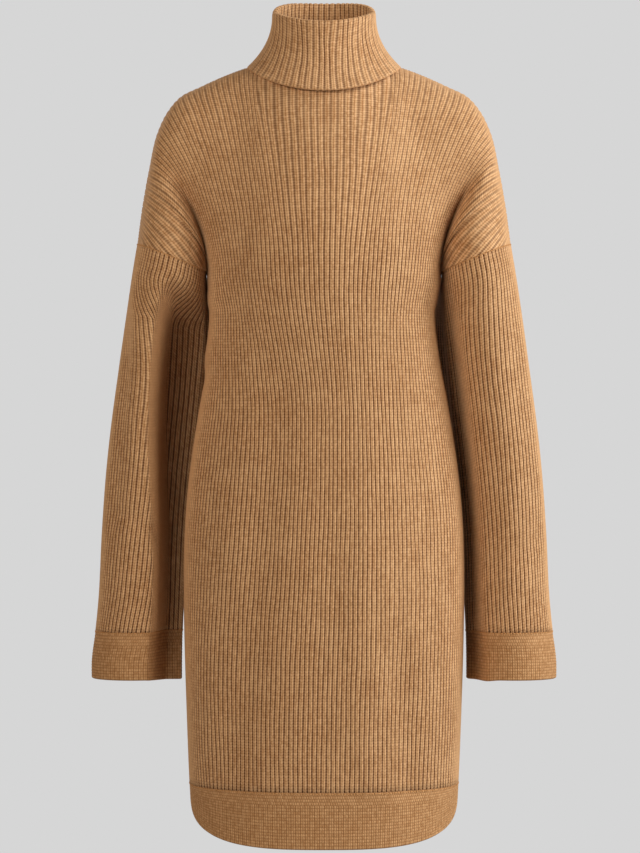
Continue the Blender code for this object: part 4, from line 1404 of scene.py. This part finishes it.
# ---------------------------------------------------------------- the dress
@dataclass
class Workshop:
    """What all pieces share: the finishes, made once, and the node trees."""

    ribs: RibRelief = field(default_factory=RibRelief)
    pearls: PearlRelief = field(default_factory=PearlRelief)

    def __post_init__(self) -> None:
        """Makes the materials and the trees."""
        self.rib_wool = RibKnitWool().build()
        self.pearl_wool = PearlKnitWool().build()
        self.seam_wool = StitchWool().build()
        self.rib_tree = self.ribs.tree()
        self.pearl_tree = self.pearls.tree()
        self.stitch_tree = SeamStitches.tree()

    def knit_ribs(self, piece: bpy.types.Object) -> None:
        """Raises a piece's ribs and gives it the rib finish."""
        settle(piece, self.rib_tree, self.ribs.values(self.rib_wool))

    def knit_pearls(self, piece: bpy.types.Object) -> None:
        """Raises a band's pearls and gives it the flat finish."""
        settle(piece, self.pearl_tree, self.pearls.values(self.pearl_wool))


@dataclass(frozen=True)
class Cut:
    """A piece's flat cut: its rectangle and, where it isn't one, its area, in metres."""

    width: float
    length: float
    area: float | None = None


def hand_over(piece: bpy.types.Object, nodes: tuple[str, ...]) -> None:
    """Tells the frame what a finished piece is.

    Args:
        piece: the finished object.
        nodes: the solids that it stands for.
    """
    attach(piece, BODY)
    if nodes:
        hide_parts(*nodes)
    triangles = sum(len(face.vertices) - 2 for face in piece.data.polygons)
    log.info("%s: %d triangles", piece.name, triangles)


@dataclass(frozen=True)
class Slant:
    """Ribs that slant off to one side over the waist and come part of the way back."""

    ribs: float                  # how far they slide, in ribs
    none_x: float                # where across they don't slide
    full_x: float                # and where they slide fully
    levels: tuple[float, float] = (-235.0, -395.0)        # where it starts and is full
    back_levels: tuple[float, float] = (-420.0, -760.0)   # where they come back
    back_share: float = 0.8                               # and how much of the way

    def at(self, x: np.ndarray, z: np.ndarray) -> np.ndarray:
        """The slide of each point, in ribs."""
        back = self.back_share * smooth_step(*self.back_levels, z)
        slide = self.ribs * smooth_step(*self.levels, z) * (1.0 - back)
        return slide * smooth_step(self.none_x, self.full_x, x)


SLANTS = {Face.FRONT: Slant(3.3, 150.0, -95.0), Face.BACK: Slant(2.0, -150.0, 60.0)}


@dataclass
class Panel:
    """Front or back of the body in rib knit, from the neckline to the hem band's seam."""

    face: Face
    shop: Workshop
    form: BodyForm = field(default_factory=BodyForm)
    yoke_rows: int = 34
    skirt_rows: int = 66
    neck_pitch: float = 7.6        # rib spacing at the middle of the neckline
    waver: float = 0.18            # how far the ribs wander, in ribs
    steepness: float = 12.0        # how soon below the top edge they are free to
    drawn: float = 0.75            # how far the yoke's ribs are drawn apart
    drawn_levels: tuple[float, float] = (-290.0, -40.0)
    spread_rows: tuple[float, float] = (0.15, 0.85)   # shares of the yoke where it fades out
    cut: Cut = Cut(0.64, 0.86, 0.36)

    @property
    def solid(self) -> str:
        """The solid that this piece stands for."""
        return "front_panel" if self.face is Face.FRONT else "back_panel"

    def grid(self) -> ClothGrid:
        """The panel's outer skin with its creases."""
        half = rib_columns(TOP_RIBS)
        yoke = self.form.yoke(half, np.linspace(0.0, 1.0, self.yoke_rows + 1), self.face)
        kept = int(np.searchsorted(half, BODY_RIBS))
        skirt = self.form.skirt(half[:kept + 1], np.linspace(0.0, 1.0, self.skirt_rows + 1)[1:],
                                self.face)
        beyond = np.repeat(yoke[-1:, kept + 1:], self.skirt_rows, axis=0)
        points = np.concatenate((yoke, np.concatenate((skirt, beyond), axis=1)))
        points[..., 1] += self.face.value * SHOWN_GAP / 2

        arc = down_lengths(points)
        at_underarm = arc[self.yoke_rows]
        outer_share = np.clip((half - BODY_RIBS) / (TOP_RIBS - BODY_RIBS), 0.0, 1.0)
        top = np.where(half <= BODY_RIBS, -at_underarm,
                       -at_underarm[kept] * (1.0 - 0.25 * outer_share))
        run = top + arc

        whole, rib = both_halves(points, half)
        run = np.concatenate((run[:, :0:-1], run), axis=1)
        shown = np.ones((whole.shape[0] - 1, whole.shape[1] - 1), bool)
        middle = (rib[:-1] + rib[1:]) / 2
        shown[self.yoke_rows:, np.abs(middle) > BODY_RIBS] = False
        away = np.array([0.0, SIDE_Y, -400.0])
        grid = ClothGrid(whole, rib, run, closed=False, away=away, shown=shown)
        seed = 11 if self.face is Face.FRONT else 12
        still = 1.0 - smooth_step(BODY_RIBS - 3.0, BODY_RIBS - 0.5, np.abs(rib))
        grid.waver(seed, self.waver, still * fade_in(len(run), self.steepness))
        grid.press(PANEL_CREASES[self.face], grid.points[..., 0], 1.0)
        x, z = grid.points[..., 0], grid.points[..., 2]
        grid.drift = SLANTS[self.face].at(x, z) + self.spread(half, points[0, :, 0], rib)
        grid.drawn = self.drawn * smooth_step(*self.drawn_levels, z)
        return grid

    def spread(self, half: np.ndarray, x_top: np.ndarray, rib: np.ndarray) -> np.ndarray:
        """How far the ribs over the yoke move out, so that they start evenly along the top.

        Args:
            half: rib coordinates of one half's columns.
            x_top: where those columns start, from the middle.
            rib: rib coordinates of all columns.

        Returns:
            The drift of every point, in ribs.
        """
        at_corner = NECK_BASE.half_width / self.neck_pitch
        rest = (TOP_RIBS - at_corner) / (TOP_RIBS - NECK_RIBS)
        even = np.where(half <= NECK_RIBS, x_top / self.neck_pitch,
                        at_corner + (half - NECK_RIBS) * rest)
        moved = np.interp(np.abs(rib), half, half - even) * np.sign(rib)
        start, end = np.array(self.spread_rows) * self.yoke_rows
        left = 1.0 - smooth_step(start, end, np.arange(self.yoke_rows + self.skirt_rows + 1))
        return left[:, None] * moved

    def build(self) -> bpy.types.Object:
        """Makes the panel."""
        name = f"shell_{self.solid}"
        piece = ClothWall(name, self.grid(), seam_plane=self.face).build()
        self.shop.knit_ribs(piece)
        hand_over(piece, (self.solid,))
        return piece


@dataclass
class HemBand:
    """Front or back half of the flat-knit hem band with its rounded corners."""

    face: Face
    shop: Workshop
    form: BodyForm = field(default_factory=BodyForm)
    pearls_a_rib: int = 2          # coarse enough to be real relief
    pearl_rows: int = 18
    steps: int = 4                 # rows and columns of the mesh for one pearl
    cut: Cut = Cut(0.43, 0.064, 0.026)

    def build(self) -> bpy.types.Object:
        """Makes the band."""
        side = "front" if self.face is Face.FRONT else "back"
        count = BODY_RIBS * self.pearls_a_rib * self.steps
        half = np.linspace(0.0, BODY_RIBS, count + 1)
        down = np.linspace(0.0, 1.0, self.pearl_rows * self.steps + 1)
        points = self.form.hem_band(half, down, self.face)
        points[..., 1] += self.face.value * SHOWN_GAP / 2
        whole, rib = both_halves(points, half)
        run = np.broadcast_to((down * self.pearl_rows)[:, None], whole.shape[:2])
        grid = ClothGrid(whole, rib * self.pearls_a_rib, run.copy(), closed=False,
                         away=np.array([0.0, SIDE_Y, -840.0]))
        grid.press(PANEL_CREASES[self.face], grid.points[..., 0], 1.0)
        piece = BandWall(f"shell_hem_band_{side}", grid, round_low=0.9,
                         seam_plane=self.face).build()
        self.shop.knit_pearls(piece)
        hand_over(piece, (f"hem_band_{side}",))
        return piece


class BandWall(ClothWall):
    """A wall of flat pearl knit, which carries its stitch counts in place of rib counts."""

    def _relief(self) -> np.ndarray:
        """Full relief, fading at the seam and at the free edge."""
        rows, columns = self.grid.points.shape[:2]
        row = np.arange(rows)
        fade = smooth_step(0.0, 2.0, row) * smooth_step(rows - 1.0, rows - 4.0, row)
        return np.broadcast_to(fade[:, None], (rows, columns))

    def build(self) -> bpy.types.Object:
        """Makes the wall, with its stitch counts named for the pearl tree."""
        piece = super().build()
        for old, new in (("rib", "wale"), ("run", "course")):
            piece.data.attributes[old].name = new
        return piece


@dataclass
class Sleeve:
    """A straight sleeve in rib knit, with its flat-knit cuff."""

    side: Side
    shop: Workshop
    rib_rows: int = 53
    cuff_top_z: float = -628.0
    cuff_end_z: float = -680.0
    pearls: int = 120
    pearl_rows: int = 16
    steps: int = 4
    cut: Cut = Cut(0.34, 0.43)
    cuff_cut: Cut = Cut(0.33, 0.055)
    girth: float = 330.0           # millimetres once round, for the creases
    waver: float = 0.16            # how far the ribs wander, in ribs
    steepness: float = 12.0        # how soon below the seam they are free to
    still_ends: float = 0.1        # how near to the underarm they stay in place

    def __post_init__(self) -> None:
        """Sets up the sleeve's form."""
        self.form = SleeveForm(self.side)
        self.label = self.side.name.lower()

    def tube(self, shares: np.ndarray, rows: np.ndarray, ribs: int) -> ClothGrid:
        """A grid of the sleeve between two rows of its table."""
        points = self.form.grid(shares, rows)
        run = down_lengths(points)
        middle = points.mean(axis=1, keepdims=True)
        grid = ClothGrid(points, shares * ribs, run, closed=True, away=middle)
        grid.press(SLEEVE_CREASES[self.side], np.broadcast_to(shares, run.shape), self.girth,
                   wrap=True)
        return grid

    def build_sleeve(self) -> bpy.types.Object:
        """Makes the rib-knit part."""
        gap_row = 2.0 * SHOWN_GAP / (SLEEVE_RINGS[0, 1] - SLEEVE_RINGS[1, 1])
        last = self.form.row_at(self.cuff_top_z + SHOWN_GAP / 2)
        shares = rib_columns(SLEEVE_RIBS) / SLEEVE_RIBS
        grid = self.tube(shares, np.linspace(gap_row, last, self.rib_rows + 1), SLEEVE_RIBS)
        ends = np.sin(np.linspace(0.0, math.pi, len(shares))) > self.still_ends
        grid.waver(21 if self.side is Side.RIGHT else 22, self.waver,
                   fade_in(len(grid.run), self.steepness) * ends)
        piece = ClothWall(f"shell_sleeve_{self.label}", grid).build()
        self.shop.knit_ribs(piece)
        hand_over(piece, (f"sleeve_{self.label}",))
        return piece

    def build_cuff(self) -> bpy.types.Object:
        """Makes the cuff."""
        first = self.form.row_at(self.cuff_top_z - SHOWN_GAP / 2)
        last = self.form.row_at(self.cuff_end_z)
        shares = np.linspace(0.0, 1.0, self.pearls * self.steps + 1)
        rows = np.linspace(first, last, self.pearl_rows * self.steps + 1)
        grid = self.tube(shares, rows, self.pearls)
        grid.run = np.broadcast_to(
            np.linspace(0.0, self.pearl_rows, len(rows))[:, None], grid.run.shape).copy()
        piece = BandWall(f"shell_cuff_{self.label}", grid, round_low=0.9).build()
        self.shop.knit_pearls(piece)
        hand_over(piece, (f"cuff_{self.label}",))
        return piece


@dataclass
class Collar:
    """The polo collar: one tube of rib knit from the neckline up, over the fold and down."""

    shop: Workshop
    flare_power: float = 2.3       # the fold-over stays close at the top and flares at its edge
    stand_power: float = 3.0       # the same for the layer under it
    layer_gap: float = 1.2
    base_lift: float = 1.2
    outer_rows: int = 26
    fold_rows: int = 8
    inner_rows: int = 16
    fold_rise: float = 2.4
    front_spread: float = 0.14     # how much the ribs gather to the front at the edge
    waver: float = 0.42            # how far the ribs wander, in ribs
    steepness: float = 6.0         # how soon past the edge and the hidden join they are free to
    cut: Cut = Cut(0.38, 0.175)

    def layer(self, turn: np.ndarray, down: float, low: Collar3, power: float,
              inset: float) -> np.ndarray:
        """A ring between the fold and a lower ring, moved towards the neck."""
        high, under = COLLAR_FOLD.at(turn), low.at(turn)
        points = high + (under - high) * np.array([down**power, down**power, down])
        towards = -unit(np.stack(
            (high[..., 0], high[..., 1] - SIDE_Y, np.zeros(turn.shape)), axis=-1))
        return points + towards * inset

    def build(self) -> bpy.types.Object:
        """Makes the collar."""
        ribs = rib_columns(COLLAR_RIBS)
        base_turn = (ribs / COLLAR_RIBS - 0.5) * 2 * math.pi
        rows = []
        for down in np.linspace(1.0, 0.04, self.outer_rows):
            turn = base_turn - self.front_spread * down * np.sin(2 * base_turn)
            rows.append(self.layer(turn, down, COLLAR_EDGE, self.flare_power, 0.0))
        width = 2 * WALL + self.layer_gap
        for bend in np.linspace(0.0, math.pi, self.fold_rows + 2)[1:-1]:
            ring = self.layer(base_turn, 0.02, COLLAR_EDGE, self.flare_power,
                              width * (0.5 - 0.5 * math.cos(bend)))
            ring[:, 2] += self.fold_rise * math.sin(bend)
            rows.append(ring)
        for down in np.linspace(0.05, 0.94, self.inner_rows):
            ring = self.layer(base_turn, down, NECK_BASE, self.stand_power,
                              (WALL + self.layer_gap) * (1 - down) + WALL)
            ring[:, 2] += self.base_lift
            rows.append(ring)
        points = np.stack(rows)
        run = down_lengths(points)
        away = np.array([0.0, SIDE_Y, 20.0])
        grid = CollarGrid(points, ribs, run, closed=True, away=away)
        ends = (self.steepness * np.sin(np.linspace(0.0, math.pi, len(ribs)))).clip(0, 1)
        grid.waver(31, self.waver, fade_in(len(run), self.steepness) * ends)
        piece = ClothWall("shell_collar", grid, round_top=0.8, round_low=0.3, relaxed=3.0,
                          stretched=10.0).build()
        self.shop.knit_ribs(piece)
        hand_over(piece, ("collar",))
        return piece


class CollarGrid(ClothGrid):
    """The collar's grid, whose skin faces outwards on its first rows and inwards past the fold."""

    def measure(self) -> None:
        """Works out the normals, and lets the first row decide which way the skin faces."""
        super().measure()
        first = np.einsum("ck,ck->", self.normals[0], self.points[0] - self.away)
        if first < 0:
            self.normals = -self.normals


@dataclass
class Seams:
    """The stitches that join the pieces, where they show."""

    shop: Workshop
    form: BodyForm = field(default_factory=BodyForm)
    linking: SeamStitches = SeamStitches()
    purl: SeamStitches = SeamStitches(pitch=3.4, length=2.5, width=1.7, height=1.3)
    proud: float = 0.15            # how far the stitches stand out, in millimetres
    sunk: float = 0.3              # how far those of the shoulders lie in

    def build(self) -> None:
        """Makes the stitches of the armholes, the shoulders and the bands."""
        for side in Side:
            self._armhole(side)
        self._shoulders()
        self._bands()

    def _finish(self, name: str, stitches: SeamStitches, paths: list[np.ndarray],
                facing: list[np.ndarray]) -> None:
        """Sews one set of paths and hands it over."""
        piece = stitches.sew(name, paths, facing, self.shop.stitch_tree, self.shop.seam_wool)
        hand_over(piece, ())

    def _armhole(self, side: Side) -> None:
        """The linking round one armhole."""
        shares = np.linspace(0.0, 1.0, 241)
        sleeve = SleeveForm(side)
        grid = ClothGrid(sleeve.grid(shares, np.linspace(0.01, 0.12, 3)), shares * SLEEVE_RIBS,
                         np.zeros((3, 241)), closed=True, away=np.zeros(3))
        middle = grid.points.mean(axis=1, keepdims=True)
        if np.einsum("rck,rck->", grid.normals, grid.points - middle) < 0:
            grid.normals = -grid.normals
        path = grid.points[0] + grid.normals[0] * self.proud
        self._finish(f"armhole_linking_{side.name.lower()}", self.linking, [path],
                     [grid.normals[0]])

    def _shoulders(self) -> None:
        """The linking along the tops of both shoulders."""
        ribs = np.linspace(NECK_RIBS, TOP_RIBS, 160)
        top = self.form.top_edge(ribs, Face.FRONT)
        slope = np.gradient(top, axis=0)
        facing = unit(np.stack((-slope[:, 2], np.zeros(len(ribs)), slope[:, 0]), axis=-1))
        path = top - facing * self.sunk
        self._finish("shoulder_linking", self.linking, [path, path * MIRROR],
                     [facing, facing * MIRROR])

    def _bands(self) -> None:
        """The first purl row of the hem band and of each cuff."""
        for face in Face:
            half = np.linspace(0.0, BODY_RIBS - 0.1, 200)
            points = self.form.hem_band(half, np.array([0.0, 0.02, 0.04]), face)
            points, rib = both_halves(points, half)
            grid = ClothGrid(points, rib, np.zeros(points.shape[:2]), closed=False,
                             away=np.array([0.0, SIDE_Y, -810.0]))
            grid.press(PANEL_CREASES[face], grid.points[..., 0], 1.0)
            path = grid.points[1] + grid.normals[1] * self.proud
            self._finish(f"hem_purl_row_{face.name.lower()}", self.purl, [path],
                         [grid.normals[1]])
        for side in Side:
            sleeve = Sleeve(side, self.shop)
            shares = np.linspace(0.0, 1.0, 241)
            first = sleeve.form.row_at(sleeve.cuff_top_z - 0.6)
            grid = sleeve.tube(shares, first + np.array([0.0, 0.02, 0.04]), SLEEVE_RIBS)
            path = grid.points[0] + grid.normals[0] * self.proud
            self._finish(f"cuff_purl_row_{side.name.lower()}", self.purl, [path],
                         [grid.normals[0]])


# ---------------------------------------------------------------- the studio
@dataclass(frozen=True)
class SoftLight:
    """A large soft light that looks at the middle of the dress."""

    name: str
    place: tuple[float, float, float]
    size: float
    power: float
    colour: str = "#ffffff"

    def build(self, target: Vector) -> None:
        """Makes the light."""
        lamp = bpy.data.lights.new(self.name, "AREA")
        lamp.shape = "DISK"
        lamp.size = self.size
        lamp.energy = self.power
        lamp.color = linear(self.colour)[:3]
        made = put(self.name, lamp)
        made.location = self.place
        towards = target - Vector(self.place)
        made.rotation_euler = towards.to_track_quat("-Z", "Y").to_euler()


@dataclass(frozen=True)
class Studio:
    """Pale floor, even surroundings, soft lights and the camera."""

    camera_distance: float = 4.0
    picture_height: float = 0.9553     # height of what the camera sees at the dress
    camera_x: float = -0.0045
    camera_z: float = -0.399
    sensor: float = 36.0
    floor_z: float = -1.35             # the height at which a wearer of this size would stand
    floor_radius: float = 3.2
    surround: str = "#d6d6d6"
    ambient: float = 0.01
    lights: tuple[SoftLight, ...] = (
        SoftLight("key_high", (1.54, -0.27, 1.19), 1.2, 28.0),
        SoftLight("key_side", (3.14, -0.55, 0.0), 1.6, 43.0),
        SoftLight("key_front", (2.4, -2.0, 0.1), 1.6, 35.0, "#fff5e6"),
        SoftLight("fill_left", (-2.2, -1.9, 0.75), 1.6, 15.0, "#ffd8aa"),
        SoftLight("fill_chest", (-0.9, -1.6, 0.4), 1.0, 13.0, "#fffaf2"),
        SoftLight("back", (-1.4, 3.0, 0.6), 2.4, 38.0),
    )

    def build(self) -> None:
        """Makes everything that isn't part of the dress."""
        target = (CAD_BOX[0] + CAD_BOX[1]) / 2
        for light in self.lights:
            light.build(target)
        self._camera()
        self._surroundings()
        self._floor()

    def _camera(self) -> None:
        """The camera, level in front of the dress."""
        lens = bpy.data.cameras.new("camera")
        lens.sensor_width = self.sensor
        lens.lens = self.sensor * self.camera_distance / self.picture_height
        made = put("camera", lens)
        made.location = (self.camera_x, -self.camera_distance, self.camera_z)
        made.rotation_euler = (math.pi / 2, 0.0, 0.0)
        bpy.context.scene.camera = made

    def _surroundings(self) -> None:
        """Even pale surroundings, which light the dress less than they show."""
        world = bpy.data.worlds.new("studio")
        world.use_nodes = True
        world.node_tree.nodes.clear()
        nodes = Nodes(world.node_tree)
        seen = nodes.add("ShaderNodeBackground",
                         inputs={"Color": linear(self.surround), "Strength": 1.0})
        felt = nodes.add("ShaderNodeBackground",
                         inputs={"Color": linear("#ffffff"), "Strength": self.ambient})
        ray = nodes.add("ShaderNodeLightPath", output="Is Camera Ray")
        both = nodes.add("ShaderNodeMixShader", inputs={0: ray, 1: felt, 2: seen})
        nodes.add("ShaderNodeOutputWorld", inputs={0: both})
        bpy.context.scene.world = world
        bpy.context.scene.view_settings.view_transform = "Standard"

    def _floor(self) -> None:
        """A round pale floor well below the hem."""
        mesh = bpy.data.meshes.new("floor")
        work = bmesh.new()
        bmesh.ops.create_circle(work, cap_ends=True, radius=self.floor_radius, segments=96)
        bmesh.ops.translate(work, verts=work.verts, vec=(0.0, 0.0, self.floor_z))
        work.to_mesh(mesh)
        work.free()
        mesh.materials.append(StudioPaint().build())
        put("floor", mesh)


def main() -> None:
    """Builds the dress piece by piece, then the studio."""
    logging.basicConfig(level=logging.INFO, format="%(name)s: %(message)s")
    shop = Workshop()
    for face in Face:
        Panel(face, shop).build()
        HemBand(face, shop).build()
    for side in Side:
        sleeve = Sleeve(side, shop)
        sleeve.build_sleeve()
        sleeve.build_cuff()
    Collar(shop).build()
    Seams(shop).build()
    Studio().build()


if __name__ == "__main__":
    main()
